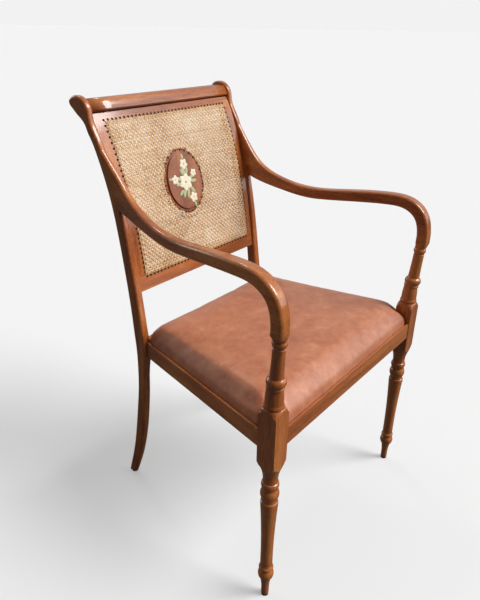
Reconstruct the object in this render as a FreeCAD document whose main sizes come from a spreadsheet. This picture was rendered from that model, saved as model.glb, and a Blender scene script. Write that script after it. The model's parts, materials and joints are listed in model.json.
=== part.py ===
import FreeCAD, Part
import math
import os
from types import SimpleNamespace

Vector = FreeCAD.Vector

# Open armchair with a scrolled, caned back: turned front legs, sabre rear legs that run up
# into the back posts, swept arms on turned supports, and an upholstered seat that lifts out.
# Millimetres, +Z up, origin on the floor at the middle of the chair's length and width,
# the sitter faces -Y.

doc = FreeCAD.newDocument("caned_scroll_armchair")
sheet = doc.addObject("Spreadsheet::Sheet", "Sizes")

driving_sizes = {
    # overall
    "chair_height": 867, "knee_height": 371, "rail_top": 395.4, "rail_height": 34.4,
    "leg_spread": 252, "leg_forward": 252.1, "block_width": 36, "block_top": 441,
    "block_bottom": 336, "block_chamfer": 1.6, "glide_height": 4, "glide_radius": 7,
    "rear_glide_radius": 5,
    "back_dowel_radius": 3, "back_dowel_length": 24, "lower_dowel_gap": 14,
    # arm support, standing on the leg block
    "support_height": 136, "support_radius": 17, "support_tenon_radius": 6,
    "support_tenon_length": 12, "support_lean_angle": 3.3, "support_splay_angle": 1.5,
    "support_dowel_radius": 4.5, "support_dowel_length": 44,
    # rear leg, post and scroll, cut from one plank
    "post_width": 18.3, "post_depth": 29, "post_spread": 191.3, "post_flare": 7.5,
    "post_toe_in": 6.3, "foot_setback": 195.3, "post_edge_radius": 5,
    "scroll_reach": 56.2, "scroll_rise": 37.5, "post_proud": 5.1,
    # curve of the back's front face: depth at the datum height, then three bends over the span
    "back_datum": 530, "back_span": 300, "back_base": 135.6, "back_lean": 41.7,
    "back_curl": 15.6, "back_sweep": 30.2,
    # arm
    "arm_front": 259.9, "arm_start_depth": 198.4, "arm_start_height": 767.5,
    "arm_end_height": 577, "arm_rear_width": 14.2, "arm_front_width": 26,
    "arm_edge_radius": 6.6, "arm_rear_spread": 198.4, "arm_front_spread": 258.8,
    "arm_screw_radius": 2.4, "arm_screw_length": 26, "arm_screw_height": 722,
    "arm_plug_radius": 4, "arm_plug_length": 5,
    # back frame and its caning
    "frame_depth": 12, "lower_rail_height": 35, "lower_rail_depth": 16,
    "upper_rail_height": 20, "crest_height": 25, "crest_drop": 7, "crest_depth": 24,
    "crest_round": 8, "crest_quirk": 1.2,
    "hole_low_spread": 163.9, "hole_flare": 7.6, "hole_radius": 2, "hole_pitch": 10,
    "hole_border": 8, "lower_hole_height": 526,
    "cane_thickness": 1.6, "cane_hollow": 9,
    # medallion
    "medallion_offset": 8, "medallion_rise_share": 0.537, "medallion_angle": 15.6,
    "rim_width": 118, "rim_length": 140, "rim_thickness": 7, "ring_width": 109,
    "ring_length": 131, "ring_hole_radius": 1.7, "ring_hole_count": 26,
    "field_width": 96, "field_length": 118, "field_thickness": 3.5, "field_round": 1.6,
    # seat rails
    "rail_thickness": 24, "rail_setback": 1.2, "lip_width": 4.5, "rebate_depth": 16,
    "side_rail_rear_spread": 194.1, "side_rail_rear": 112.9, "back_rail_front": 97.9,
    "back_rail_thickness": 30, "back_lip_width": 12, "tongue_thickness": 7,
    "tongue_height": 13, "tongue_length": 12, "tongue_root": 14, "tongue_rise": 2,
    "side_tongue_inset": 13, "rear_tongue_inset": 6, "glue_gap": 1,
    "corner_block_leg": 52, "corner_block_height": 15, "corner_screw_radius": 2,
    "corner_screw_length": 30, "corner_screw_bite": 14,
    # lift-out seat
    "seat_clearance": 1.2, "seat_rear": 110.1, "cover_thickness": 2, "cover_corner": 8,
    "cover_inner_corner": 2, "seat_crown": 438, "soft_gap": 0.3, "seat_rail_width": 42,
    "seat_rail_height": 16, "seat_dowel_radius": 3.5, "seat_dowel_length": 44,
    "seat_dowel_drop": 4.7,
    "webbing_width": 50, "webbing_thickness": 1.2, "webbing_margin": 12, "dust_cloth_thickness": 0.8,
    "dust_cloth_margin": 14, "tack_margin": 24, "tack_head_radius": 3.5,
    "tack_head_height": 0.8, "tack_shank_radius": 0.9, "tack_length": 6.5,
    "overrun": 40,
}
# Heights of the back's rails, which follow the chair's height and the caning's lowest row
derived_sizes = {
    "lower_rail_top": "=lower_hole_height + hole_border",
    "lower_rail_bottom": "=lower_rail_top - lower_rail_height",
    "crest_top": "=chair_height - crest_drop",
    "upper_rail_top": "=crest_top - crest_height",
    "upper_rail_bottom": "=upper_rail_top - upper_rail_height",
    "upper_hole_height": "=upper_rail_bottom + hole_border",
    "medallion_height": "=lower_hole_height"
                        " + medallion_rise_share * (upper_hole_height - lower_hole_height)",
}
all_sizes = {**driving_sizes, **derived_sizes}
for row, (alias, value) in enumerate(all_sizes.items(), start=1):
    sheet.set(f"A{row}", alias)
    sheet.set(f"B{row}", str(value))
    sheet.setAlias(f"B{row}", alias)
doc.recompute()
size = SimpleNamespace(**{alias: float(sheet.get(alias)) for alias in all_sizes})

# Outlines as shares of the sizes they follow.
# Front leg below its block: height share, radius share of half the block, swell share.
leg_turning_shares = [
    (0.012, 0.400, 0), (0.074, 0.417, 0), (0.122, 0.514, 0), (0.140, 0.611, 0),
    (0.205, 0.611, 0.222), (0.208, 0.683, 0), (0.232, 0.683, 0.083), (0.238, 0.628, 0),
    (0.253, 0.606, 0), (0.256, 0.639, 0), (0.690, 0.878, -0.075), (0.714, 0.878, 0.017),
    (0.719, 0.794, 0), (0.738, 0.789, 0), (0.741, 0.811, 0), (0.795, 0.811, 0.133),
    (0.798, 0.778, 0), (0.810, 0.778, 0), (0.815, 0.833, 0), (0.845, 0.833, 0.056),
    (0.848, 0.750, 0), (0.958, 1.139, -0.139), (1.0, 1.444, 0.083),
]
leg_waste_share = 1.7
points_per_piece = 4
# Arm support: height share, radius share, swell share.
support_turning_shares = [
    (-0.02, 0.824, 0), (0.0, 0.824, 0), (0.066, 0.824, 0.147), (0.077, 0.776, 0),
    (0.088, 0.824, 0), (0.265, 0.735, -0.012), (0.272, 0.853, 0), (0.294, 0.853, 0),
    (0.305, 0.794, 0), (0.316, 0.824, 0), (0.419, 0.824, 0.176), (0.430, 0.741, 0),
    (0.441, 0.706, 0), (0.824, 0.647, -0.018), (0.831, 0.606, 0), (0.846, 0.606, 0),
    (0.857, 0.676, 0), (0.919, 0.676, 0.074), (0.930, 0.635, 0), (1.0, 0.676, -0.012),
]
# Rear leg: height share of the knee, setback share, half thickness share of the depth.
rear_leg_shares = [
    (0.0, 1.0, 0.36), (0.154, 0.900, 0.41), (0.232, 0.852, 0.425), (0.305, 0.814, 0.435),
    (0.445, 0.755, 0.448), (0.636, 0.696, 0.414), (0.755, 0.670, 0.386), (0.868, 0.655, 0.397),
    (1.0, 0.639, 0.5),
]
# Post above the knee: height share of the rise to the top, thickness share of the depth.
post_thickness_shares = [
    (0.068, 0.983), (0.159, 0.897), (0.320, 0.862), (0.461, 0.862), (0.581, 0.803),
    (0.702, 0.707), (0.783, 0.655), (0.853, 0.707),
]
scroll_start_share = 0.924
# Scroll: reach share, rise share, both from the post's front where the scroll starts.
scroll_shares = [
    (0.05, 0.445), (0.20, 0.78), (0.41, 0.965), (0.64, 1.0), (0.865, 0.90), (0.985, 0.70),
    (0.96, 0.53), (0.85, 0.37), (0.635, 0.11), (0.41, -0.123), (0.245, -0.381), (0.166, -0.648),
]
# Post seen from the front: height share, shares of the toe-in, of the flare and of the width.
post_spread_shares = [
    (-0.02, 1.07, 0, 0.62), (0.07, 0.70, 0, 0.80), (0.17, 0.32, 0, 0.92), (0.30, 0.08, 0, 0.98),
    (0.43, 0, 0, 1.0), (0.645, 0, 0.02, 1.0), (0.737, 0, 0.16, 0.90), (0.806, 0, 0.476, 0.80),
    (0.876, 0, 0.90, 0.78), (0.922, 0, 1.0, 0.78), (1.02, 0, 1.0, 0.78),
]
# Arm from the post to the support: depth share and height share of its upper and lower lines,
# and of the heel that ends it inside the post.
arm_upper_shares = [
    (-0.010, 1.130), (0.033, 0.992), (0.092, 0.819), (0.169, 0.624), (0.279, 0.495),
    (0.437, 0.431), (0.631, 0.465), (0.816, 0.500), (0.921, 0.476), (0.993, 0.359),
    (1.024, 0.178), (1.027, -0.028),
]
arm_lower_shares = [
    (0.070, 0.499), (0.100, 0.462), (0.148, 0.423), (0.209, 0.386), (0.275, 0.354),
    (0.349, 0.323), (0.435, 0.304), (0.526, 0.313), (0.635, 0.337), (0.818, 0.371),
    (0.905, 0.352), (0.951, 0.277), (0.972, 0.154), (0.973, -0.031),
]
arm_heel_share = (-0.0275, 1.118)
# Arm from above: depth share, share of the spread, share of the widening.
arm_plan_shares = [
    (-0.08, 0.0, 0.0), (0.02, 0.0, 0.0), (0.10, -0.046, 0.17), (0.17, 0.003, 0.28),
    (0.264, 0.127, 0.42), (0.431, 0.340, 0.61), (0.630, 0.612, 0.81), (0.815, 0.864, 0.95),
    (0.946, 0.980, 1.0), (1.04, 1.0, 1.0),
]
# Edges longer than this share of the stock's width are rounded; the rest cross it.
long_edge_share = 1.2
# Seat pad: share of the height from rail top to crown, inset and pull-in shares of the crown's
# height over the rail.
seat_section_shares = [
    (-0.36, 0.0, 0.0), (0.0, 0.0, 0.0), (0.30, 0.01, 0.01), (0.46, 0.03, 0.02),
    (0.58, 0.08, 0.03), (0.69, 0.17, 0.05), (0.79, 0.33, 0.07), (0.88, 0.60, 0.09),
    (0.95, 1.00, 0.11), (0.99, 1.50, 0.13), (1.0, 1.9, 0.14),
]
notch_round_share = 0.4
# Caning: where its sections stand across the free field, and the steps up each of them.
cane_section_shares = [-1, -0.5, 0, 0.5, 1]
cane_steps = 6
corner_screw_share = 0.28
# Webbing straps, as shares of the seat's half width and of its depth from the front.
long_strap_shares = [-0.57, -0.19, 0.19, 0.57]
cross_strap_shares = [0.16, 0.33, 0.50, 0.67, 0.84]
# Tacks along each side of the seat, from one corner to the next.
tack_shares = [0.08, 0.25, 0.42, 0.58, 0.75, 0.92]


def bind(thing, name, text):
    thing.setExpression(name, text)
    return thing


def number(value):
    return f"{value:.6f}"


def body_of(name):
    return doc.addObject("PartDesign::Body", name)


def sketch_in(body, role, name, lift=None):
    sketch = body.newObject("Sketcher::SketchObject", name)
    plane = [item for item in body.Origin.OriginFeatures if item.Role == role][0]
    sketch.AttachmentSupport = [(plane, "")]
    sketch.MapMode = "FlatFace"
    if lift:
        bind(sketch, "AttachmentOffset.Base.z", lift)
    return sketch


def flat(point):
    return Vector(point[0], point[1], 0)


def polygon(sketch, points):
    ends = points[1:] + points[:1]
    edges = [Part.LineSegment(flat(a), flat(b)) for a, b in zip(points, ends)]
    sketch.addGeometry(edges, False)


def swelled(sketch, points, closing):
    """Lines and arcs through (x, y, swell), then straight through the closing points."""
    edges = []
    for (x0, y0, _), (x1, y1, swell) in zip(points, points[1:]):
        if swell:
            middle = Vector((x0 + x1) / 2 + swell, (y0 + y1) / 2, 0)
            edges.append(Part.Arc(Vector(x0, y0, 0), middle, Vector(x1, y1, 0)))
        else:
            edges.append(Part.LineSegment(Vector(x0, y0, 0), Vector(x1, y1, 0)))
    corners = [points[-1][:2]] + closing + [points[0][:2]]
    for a, b in zip(corners, corners[1:]):
        edges.append(Part.LineSegment(flat(a), flat(b)))
    sketch.addGeometry(edges, False)


def smooth(points):
    """One smooth curve through the points, cut into a few pieces that share their tangents."""
    if len(points) == 2:
        return [Part.LineSegment(flat(points[0]), flat(points[1]))]
    whole = Part.BSplineCurve()
    whole.interpolate([flat(point) for point in points])
    stops = points[:-points_per_piece:points_per_piece] + [points[-1]]
    places = [whole.parameter(flat(point)) for point in stops]
    pieces = []
    for start, end in zip(places, places[1:]):
        piece = whole.copy()
        piece.segment(start, end)
        pieces.append(piece)
    return pieces


def ribbon(sketch, one_edge, other_edge, heel=None):
    """A closed strip between two smooth edges that run the same way; it may start at a heel."""
    start = [other_edge[0]] + ([heel] if heel else []) + [one_edge[0]]
    ends = [Part.LineSegment(flat(one_edge[-1]), flat(other_edge[-1]))]
    ends += [Part.LineSegment(flat(a), flat(b)) for a, b in zip(start, start[1:])]
    sketch.addGeometry(smooth(one_edge) + smooth(other_edge) + ends, False)


def pad(body, sketch, name, length, midplane=False):
    feature = body.newObject("PartDesign::Pad", name)
    feature.Profile = sketch
    feature.Midplane = midplane
    bind(feature, "Length", length)
    return feature


def pocket(body, sketch, name):
    """A cut right through, both ways from the sketch."""
    feature = body.newObject("PartDesign::Pocket", name)
    feature.Profile = sketch
    feature.Type = 1
    feature.Midplane = True
    return feature


def round_off(body, edges, name, radius):
    base = body.Tip
    feature = body.newObject("PartDesign::Fillet", name)
    feature.Base = (base, edges)
    bind(feature, "Radius", radius)
    return body


def box(name, corner, spans):
    piece = doc.addObject("Part::Box", name)
    for axis, text in zip("xyz", corner):
        bind(piece, f"Placement.Base.{axis}", text)
    for side, text in zip(("Length", "Width", "Height"), spans):
        bind(piece, side, text)
    return piece


def rod(name, radius, length, base, tilt=None):
    """A cylinder from its base along +Z, or along the axis that the tilt turns Z to."""
    piece = doc.addObject("Part::Cylinder", name)
    bind(piece, "Radius", radius)
    bind(piece, "Height", length)
    if tilt:
        piece.Placement.Rotation = tilt
    for axis, text in zip("xyz", base):
        bind(piece, f"Placement.Base.{axis}", text)
    return piece


def group(name, pieces):
    thing = doc.addObject("Part::Compound", name)
    thing.Links = pieces
    return thing


def fuse(name, pieces):
    thing = doc.addObject("Part::MultiFuse", name)
    thing.Shapes = pieces
    return thing


def cut(name, base, tools):
    thing = doc.addObject("Part::Cut", name)
    thing.Base = base
    thing.Tool = tools[0] if len(tools) == 1 else group(name + "_tools", tools)
    return thing


def common(name, base, tool):
    thing = doc.addObject("Part::Common", name)
    thing.Base = base
    thing.Tool = tool
    return thing


def mirrored(name, source):
    thing = doc.addObject("Part::Mirroring", name)
    thing.Source = source
    thing.Base = Vector(0, 0, 0)
    thing.Normal = Vector(1, 0, 0)
    return thing


nodes = []


def node(label, thing, solids=1):
    """Names a finished piece; its solids are counted before it is written."""
    thing.Label = label
    nodes.append((thing, solids))


def back_face(height):
    """Depth of the back's front face at a height."""
    rise = (height - size.back_datum) / size.back_span
    bends = size.back_lean * rise + size.back_curl * rise**2 + size.back_sweep * rise**3
    return size.back_base + bends


def hole_spread(height):
    """Half width of the caning's side hole rows at a height."""
    return size.hole_low_spread + size.hole_flare * (height - size.back_datum) / size.back_span


def post_across(height):
    """Sideways place of the post's middle and its width, read straight between its shares."""
    rows = post_spread_shares
    share = height / size.chair_height
    for low, high in zip(rows, rows[1:]):
        if low[0] <= share <= high[0]:
            part = (share - low[0]) / (high[0] - low[0])
            toe, flare, width = (a + (b - a) * part for a, b in zip(low[1:], high[1:]))
            middle = size.post_spread - toe * size.post_toe_in + flare * size.post_flare
            return middle, width * size.post_width


# Rear leg, post and scroll
def post_blank():
    body = body_of("post_blank_body")
    side = sketch_in(body, "YZ_Plane", "post_side", "Sizes.post_spread - Sizes.overrun")
    front = []
    back = []
    for height_share, setback_share, half_share in rear_leg_shares:
        height = max(height_share * size.knee_height, size.glide_height)
        middle = setback_share * size.foot_setback
        half = half_share * size.post_depth
        front.append((middle - half, height))
        back.append((middle + half, height))
    rise = size.chair_height - size.knee_height
    for height_share, thickness_share in post_thickness_shares:
        height = size.knee_height + height_share * rise
        face = back_face(height) - size.post_proud
        front.append((face, height))
        back.append((face + thickness_share * size.post_depth, height))
    start_height = size.knee_height + scroll_start_share * rise
    start = back_face(start_height) - size.post_proud
    scroll = [(start, start_height)]
    for reach_share, rise_share in scroll_shares:
        scroll.append((start + reach_share * size.scroll_reach,
                       start_height + rise_share * size.scroll_rise))
    outline = front + scroll + back[::-1]
    foot = Part.LineSegment(flat(outline[-1]), flat(outline[0]))
    side.addGeometry(smooth(outline) + [foot], False)
    pad(body, side, "post_plank", "2 * Sizes.overrun")
    for sign, place in ((-1, "inner"), (1, "outer")):
        edge = []
        far = []
        for row in post_spread_shares:
            height = row[0] * size.chair_height
            middle, width = post_across(height)
            edge.append((middle + sign * width / 2, height))
            far.append((size.post_spread + sign * 2 * size.overrun, height))
        waste = sketch_in(body, "XZ_Plane", f"post_{place}_waste")
        ribbon(waste, edge, far[:1] + far[-1:])
        squared = pocket(body, waste, f"post_{place}_face")
    doc.recompute()
    long_edges = [
        f"Edge{number}" for number, edge in enumerate(squared.Shape.Edges, start=1)
        if edge.Length > long_edge_share * size.post_width
        and edge.BoundBox.ZMax > size.glide_height + size.post_edge_radius
    ]
    return round_off(body, long_edges, "post_rounding", "Sizes.post_edge_radius"), squared


# Front leg, turned from a square blank
def leg_blank():
    body = body_of("leg_blank_body")
    square = sketch_in(body, "XY_Plane", "leg_square", "Sizes.glide_height")
    half = size.block_width / 2
    polygon(square, [(-half, -half), (half, -half), (half, half), (-half, half)])
    pad(body, square, "leg_stock", "Sizes.block_top - Sizes.glide_height")
    doc.recompute()
    top_edges = [
        f"Edge{number}" for number, edge in enumerate(body.Tip.Shape.Edges, start=1)
        if edge.BoundBox.ZMin > size.block_top - size.block_chamfer
    ]
    stock = body.Tip
    chamfer = body.newObject("PartDesign::Chamfer", "leg_block_chamfer")
    chamfer.Base = (stock, top_edges)
    bind(chamfer, "Size", "Sizes.block_chamfer")
    turning = sketch_in(body, "XZ_Plane", "leg_turning")
    rows = [
        (radius_share * half, height_share * size.block_bottom, swell_share * half)
        for height_share, radius_share, swell_share in leg_turning_shares
    ]
    waste = leg_waste_share * half
    swelled(turning, rows, [(waste, rows[-1][1]), (waste, 0), (rows[0][0], 0)])
    groove = body.newObject("PartDesign::Groove", "leg_lathe_cut")
    groove.Profile = turning
    groove.ReferenceAxis = (turning, ["V_Axis"])
    groove.Angle = 360
    bind(body, "Placement.Base.x", "Sizes.leg_spread")
    bind(body, "Placement.Base.y", "-Sizes.leg_forward")
    return body


# Turned arm support, leaning forward and outward on the leg block
def support_turn():
    splay = math.tan(math.radians(size.support_splay_angle))
    lean = math.tan(math.radians(size.support_lean_angle))
    return FreeCAD.Rotation(Vector(0, 0, 1), Vector(splay, -lean, 1))


def support_blank():
    body = body_of("support_blank_body")
    turning = sketch_in(body, "XZ_Plane", "support_turning")
    rows = [
        (radius_share * size.support_radius, height_share * size.support_height,
         swell_share * size.support_radius)
        for height_share, radius_share, swell_share in support_turning_shares
    ]
    tenon = size.support_tenon_radius
    top = size.support_height
    tip = top + size.support_tenon_length
    swelled(turning, rows, [(tenon, top), (tenon, tip), (0, tip), (0, rows[0][1])])
    lathe = body.newObject("PartDesign::Revolution", "support_lathe")
    lathe.Profile = turning
    lathe.ReferenceAxis = (turning, ["V_Axis"])
    lathe.Angle = 360
    body.Placement.Rotation = support_turn()
    bind(body, "Placement.Base.x", "Sizes.leg_spread")
    bind(body, "Placement.Base.y", "-Sizes.leg_forward")
    bind(body, "Placement.Base.z", "Sizes.block_top")
    return body


def arm_seat_tool():
    """The space under the arm's end, square to the support."""
    tool = doc.addObject("Part::Box", "arm_seat_tool")
    for side in ("Length", "Width"):
        bind(tool, side, "2 * Sizes.overrun")
    bind(tool, "Height", "Sizes.overrun")
    turn = support_turn()
    corner = Vector(-size.overrun, -size.overrun, size.support_height - size.overrun)
    foot = Vector(size.leg_spread, -size.leg_forward, size.block_top)
    tool.Placement = FreeCAD.Placement(foot + turn.multVec(corner), turn)
    return tool


# Arm, sawn as a swept ribbon and rounded over
def arm_blank():
    body = body_of("arm_blank_body")
    reach = size.arm_start_depth + size.arm_front
    rise = size.arm_start_height - size.arm_end_height
    upper, lower, heels = (
        [(size.arm_start_depth - depth_share * reach, size.arm_end_height + height_share * rise)
         for depth_share, height_share in shares]
        for shares in (arm_upper_shares, arm_lower_shares, [arm_heel_share])
    )
    side = sketch_in(body, "YZ_Plane", "arm_side", "Sizes.arm_rear_spread - Sizes.overrun")
    ribbon(side, upper, lower, heels[0])
    pad(body, side, "arm_plank", "3 * Sizes.overrun")
    spread = size.arm_front_spread - size.arm_rear_spread
    widening = size.arm_front_width - size.arm_rear_width
    for sign, place in ((-1, "inner"), (1, "outer")):
        edge = []
        for depth_share, spread_share, width_share in arm_plan_shares:
            half = (size.arm_rear_width + width_share * widening) / 2
            across = size.arm_rear_spread + spread_share * spread + sign * half
            edge.append((across, size.arm_start_depth - depth_share * reach))
        beyond = size.arm_rear_spread + sign * 3 * size.overrun
        waste = sketch_in(body, "XY_Plane", f"arm_{place}_waste")
        ribbon(waste, edge, [(beyond, edge[0][1]), (beyond, edge[-1][1])])
        pocket(body, waste, f"arm_{place}_face")
    doc.recompute()
    long_edges = []
    for number, edge in enumerate(body.Tip.Shape.Edges, start=1):
        middle = edge.CenterOfMass
        outside_post = middle.y < back_face(middle.z) - size.post_proud
        if outside_post and edge.Length > long_edge_share * size.arm_front_width:
            long_edges.append(f"Edge{number}")
    return round_off(body, long_edges, "arm_rounding", "Sizes.arm_edge_radius")


def arm_stop():
    """All that lies deeper in the post than the arm reaches round its rounded edges."""
    body = body_of("arm_stop_body")
    side = sketch_in(body, "YZ_Plane", "arm_stop_side", "Sizes.post_spread - Sizes.overrun")
    reach = size.post_edge_radius / 2 - size.post_proud
    span = size.chair_height - size.block_top
    steps = range(points_per_piece + 1)
    heights = [size.block_top + span * step / points_per_piece for step in steps]
    front = [(back_face(height) + reach, height) for height in heights]
    rear = [(front[place][0] + 2 * size.overrun, heights[place]) for place in (0, -1)]
    ribbon(side, front, rear)
    pad(body, side, "arm_stop_block", "2 * Sizes.overrun")
    return body


# Strips of the back that follow its curve, padded sideways from the middle or an offset
def back_strip(name, low, high, depth, start, width, midplane=False):
    body = body_of(name + "_body")
    sketch = sketch_in(body, "YZ_Plane", name + "_section", start)
    steps = range(points_per_piece + 1)
    heights = [low + (high - low) * step / points_per_piece for step in steps]
    face = [(back_face(height), height) for height in heights]
    rear = [(back_face(height) + depth, height) for height in heights]
    ribbon(sketch, face, rear)
    pad(body, sketch, name + "_strip", width, midplane)
    return body


def drill(body, name, centres, radius):
    """A row of holes through the back's face, front to rear."""
    sketch = sketch_in(body, "XZ_Plane", name)
    circles = [Part.Circle(flat(centre), Vector(0, 0, 1), radius) for centre in centres]
    sketch.addGeometry(circles, False)
    pocket(body, sketch, name + "_drilling")


def cane_row(height):
    """Hole places of one crosswise row, out to the side rows."""
    reach = hole_spread(height)
    count = int(reach / size.hole_pitch)
    return [(step * size.hole_pitch, height) for step in range(-count, count + 1)]


def stile_blank():
    body = back_strip("back_stile", size.lower_rail_top, size.upper_rail_bottom,
                      size.frame_depth, "Sizes.hole_low_spread - Sizes.overrun",
                      "2 * Sizes.overrun")
    inner = []
    outer = []
    for height in (size.lower_rail_top, size.upper_rail_bottom):
        inner.append((hole_spread(height) - size.hole_border, height))
        outer.append((post_across(height)[0], height))
    for edge, sign, place in ((inner, -1, "inner"), (outer, 1, "outer")):
        beyond = size.hole_low_spread + sign * 2 * size.overrun
        waste = sketch_in(body, "XZ_Plane", f"stile_{place}_waste")
        polygon(waste, [edge[0], edge[1], (beyond, edge[1][1]), (beyond, edge[0][1])])
        pocket(body, waste, f"stile_{place}_face")
    room = size.upper_hole_height - size.lower_hole_height
    count = round(room / size.hole_pitch)
    heights = [size.lower_hole_height + room * step / count for step in range(1, count)]
    low = size.lower_rail_top + size.hole_radius
    high = size.upper_rail_bottom - size.hole_radius
    centres = [(hole_spread(height), height) for height in heights if low < height < high]
    drill(body, "stile_holes", centres, size.hole_radius)
    return body


# Caning: one plain sheet drawn a little hollow between the frame's edges
def cane_sheet():
    body = body_of("cane_sheet_body")
    low = size.lower_hole_height
    high = size.upper_hole_height
    inner = size.hole_low_spread - size.hole_border
    outer = hole_spread(high)
    sections = [(-outer, 0), (outer, 0)]
    sections += [(share * inner, 1 - share**2) for share in cane_section_shares]
    span = size.upper_rail_bottom - size.lower_rail_top
    free_heights = [size.lower_rail_top + span * step / cane_steps for step in range(cane_steps + 1)]
    sketches = []
    for place, (sideways, hollow_share) in enumerate(sorted(sections)):
        sketch = sketch_in(body, "YZ_Plane", f"cane_section_{place}", number(sideways))
        face = []
        for height in [low] + free_heights + [high]:
            part = min(max((height - size.lower_rail_top) / span, 0), 1)
            hollow = size.cane_hollow * hollow_share * math.sin(math.pi * part)
            face.append((cane_front(height) + hollow, height))
        rear = [(depth + size.cane_thickness, height) for depth, height in face]
        ribbon(sketch, face, rear)
        sketches.append(sketch)
    loft = body.newObject("PartDesign::AdditiveLoft", "cane_loft")
    loft.Profile = sketches[0]
    loft.Sections = sketches[1:]
    loft.Ruled = True
    for sign, place in ((-1, "left"), (1, "right")):
        waste = sketch_in(body, "XZ_Plane", f"cane_{place}_waste")
        beyond = sign * (outer + size.overrun)
        polygon(waste, [(sign * hole_spread(low), low), (sign * outer, high),
                        (beyond, high + size.overrun), (beyond, low - size.overrun)])
        pocket(body, waste, f"cane_{place}_edge")
    window = sketch_in(body, "XZ_Plane", "cane_window")
    centre, turn = medallion_place().Base, medallion_place().Rotation
    window.AttachmentOffset = FreeCAD.Placement(Vector(centre.x, centre.z, -centre.y), turn)
    gap = 2 * size.soft_gap
    window.addGeometry(oval(size.rim_width + gap, size.rim_length + gap), False)
    pocket(body, window, "cane_oval")
    return body


def cane_front(height):
    """Depth of the sheet's front where it lies flat on the frame, short of touching it."""
    return back_face(height) - size.cane_thickness - size.soft_gap


def oval(width, length):
    return Part.Ellipse(Vector(0, length / 2, 0), Vector(width / 2, 0, 0), Vector(0, 0, 0))


# Medallion: an oval plate drilled round its rim, with a raised field
def medallion_place():
    span = size.upper_rail_bottom - size.lower_rail_top
    part = (size.medallion_height - size.lower_rail_top) / span
    depth = cane_front(size.medallion_height) + size.cane_hollow * math.sin(math.pi * part)
    base = Vector(-size.medallion_offset, depth, size.medallion_height)
    return FreeCAD.Placement(base, FreeCAD.Rotation(Vector(1, 0, 0), -size.medallion_angle))


def medallion_rim():
    body = body_of("medallion_rim_body")
    sketch = sketch_in(body, "XZ_Plane", "rim_oval")
    sketch.addGeometry(oval(size.rim_width, size.rim_length), False)
    plate = pad(body, sketch, "rim_plate", "Sizes.rim_thickness")
    plate.Reversed = True
    count = round(size.ring_hole_count)
    turns = [2 * math.pi * step / count for step in range(count)]
    centres = [
        (math.sin(turn) * size.ring_width / 2, math.cos(turn) * size.ring_length / 2)
        for turn in turns
    ]
    drill(body, "rim_holes", centres, size.ring_hole_radius)
    body.Placement = medallion_place()
    return body


def medallion_field():
    body = body_of("medallion_field_body")
    sketch = sketch_in(body, "XZ_Plane", "field_oval")
    sketch.addGeometry(oval(size.field_width, size.field_length), False)
    pad(body, sketch, "field_plate", "Sizes.field_thickness")
    doc.recompute()
    front_edge = [
        f"Edge{number}" for number, edge in enumerate(body.Tip.Shape.Edges, start=1)
        if edge.BoundBox.YMax < -size.field_thickness / 2
    ]
    round_off(body, front_edge, "field_rounding", "Sizes.field_round")
    body.Placement = medallion_place()
    return body


# Seat rails
def side_face(depth):
    """Sideways place of the side rail's outer face at a depth."""
    front = size.leg_spread + size.block_width / 2 - size.rail_setback
    start = size.block_width / 2 - size.leg_forward
    slope = (size.side_rail_rear_spread - front) / (size.side_rail_rear - start)
    return front + slope * (depth - start)


def side_slant():
    """How much longer a step across the side rail is than the same step square to it."""
    return math.hypot(1, side_face(1) - side_face(0))


def front_rail_blank():
    body = body_of("front_rail_body")
    section = sketch_in(body, "YZ_Plane", "front_rail_section")
    face = size.rail_setback - size.leg_forward - size.block_width / 2
    low = size.rail_top - size.rail_height
    ledge = size.rail_top - size.rebate_depth
    lip = face + size.lip_width
    rear = face + size.rail_thickness
    polygon(section, [(face, low), (face, size.rail_top), (lip, size.rail_top),
                      (lip, ledge), (rear, ledge), (rear, low)])
    pad(body, section, "front_rail_bar", "2 * Sizes.leg_spread - Sizes.block_width", True)
    return body


def back_rail_blank():
    body = body_of("back_rail_body")
    section = sketch_in(body, "YZ_Plane", "back_rail_section")
    face = size.back_rail_front
    low = size.rail_top - size.rail_height
    ledge = size.rail_top - size.rebate_depth
    rear = face + size.back_rail_thickness
    lip = rear - size.back_lip_width
    polygon(section, [(face, low), (face, ledge), (lip, ledge), (lip, size.rail_top),
                      (rear, size.rail_top), (rear, low)])
    pad(body, section, "back_rail_bar", "2 * Sizes.post_spread", True)
    return body


def side_rail_blank():
    body = body_of("side_rail_body")
    start = size.block_width / 2 - size.leg_forward
    end = size.side_rail_rear
    slant = side_slant()
    bar = sketch_in(body, "XY_Plane", "side_rail_plan", "Sizes.rail_top - Sizes.rail_height")
    thick = size.rail_thickness * slant
    polygon(bar, [(side_face(start), start), (side_face(end), end),
                  (side_face(end) - thick, end), (side_face(start) - thick, start)])
    pad(body, bar, "side_rail_bar", "Sizes.rail_height")
    lip = size.lip_width * slant
    rebate = sketch_in(body, "XY_Plane", "side_rail_rebate", "Sizes.rail_top")
    polygon(rebate, [(side_face(start) - lip, start), (side_face(end) - lip, end),
                     (side_face(end) - 2 * thick, end), (side_face(start) - 2 * thick, start)])
    feature = body.newObject("PartDesign::Pocket", "side_rail_ledge")
    feature.Profile = rebate
    bind(feature, "Length", "Sizes.rebate_depth")
    return body


# Lift-out seat
def seat_side(depth, inset):
    return side_face(depth) - (size.lip_width + size.seat_clearance + inset) * side_slant()


def seat_corners(inset):
    """Corners of the seat's plan, drawn in by an inset, from the front left and round."""
    front = size.rail_setback - size.leg_forward - size.block_width / 2
    front += size.lip_width + size.seat_clearance + inset
    notch = size.leg_spread - size.block_width / 2 - size.seat_clearance - inset
    step = size.block_width / 2 - size.leg_forward + size.seat_clearance + inset
    rear = size.seat_rear - inset
    right = [(notch, front), (notch, step), (seat_side(step, inset), step),
             (seat_side(rear, inset), rear)]
    left = [(-across, depth) for across, depth in right[::-1]]
    return [left[-1]] + right + left[:-1]


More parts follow.
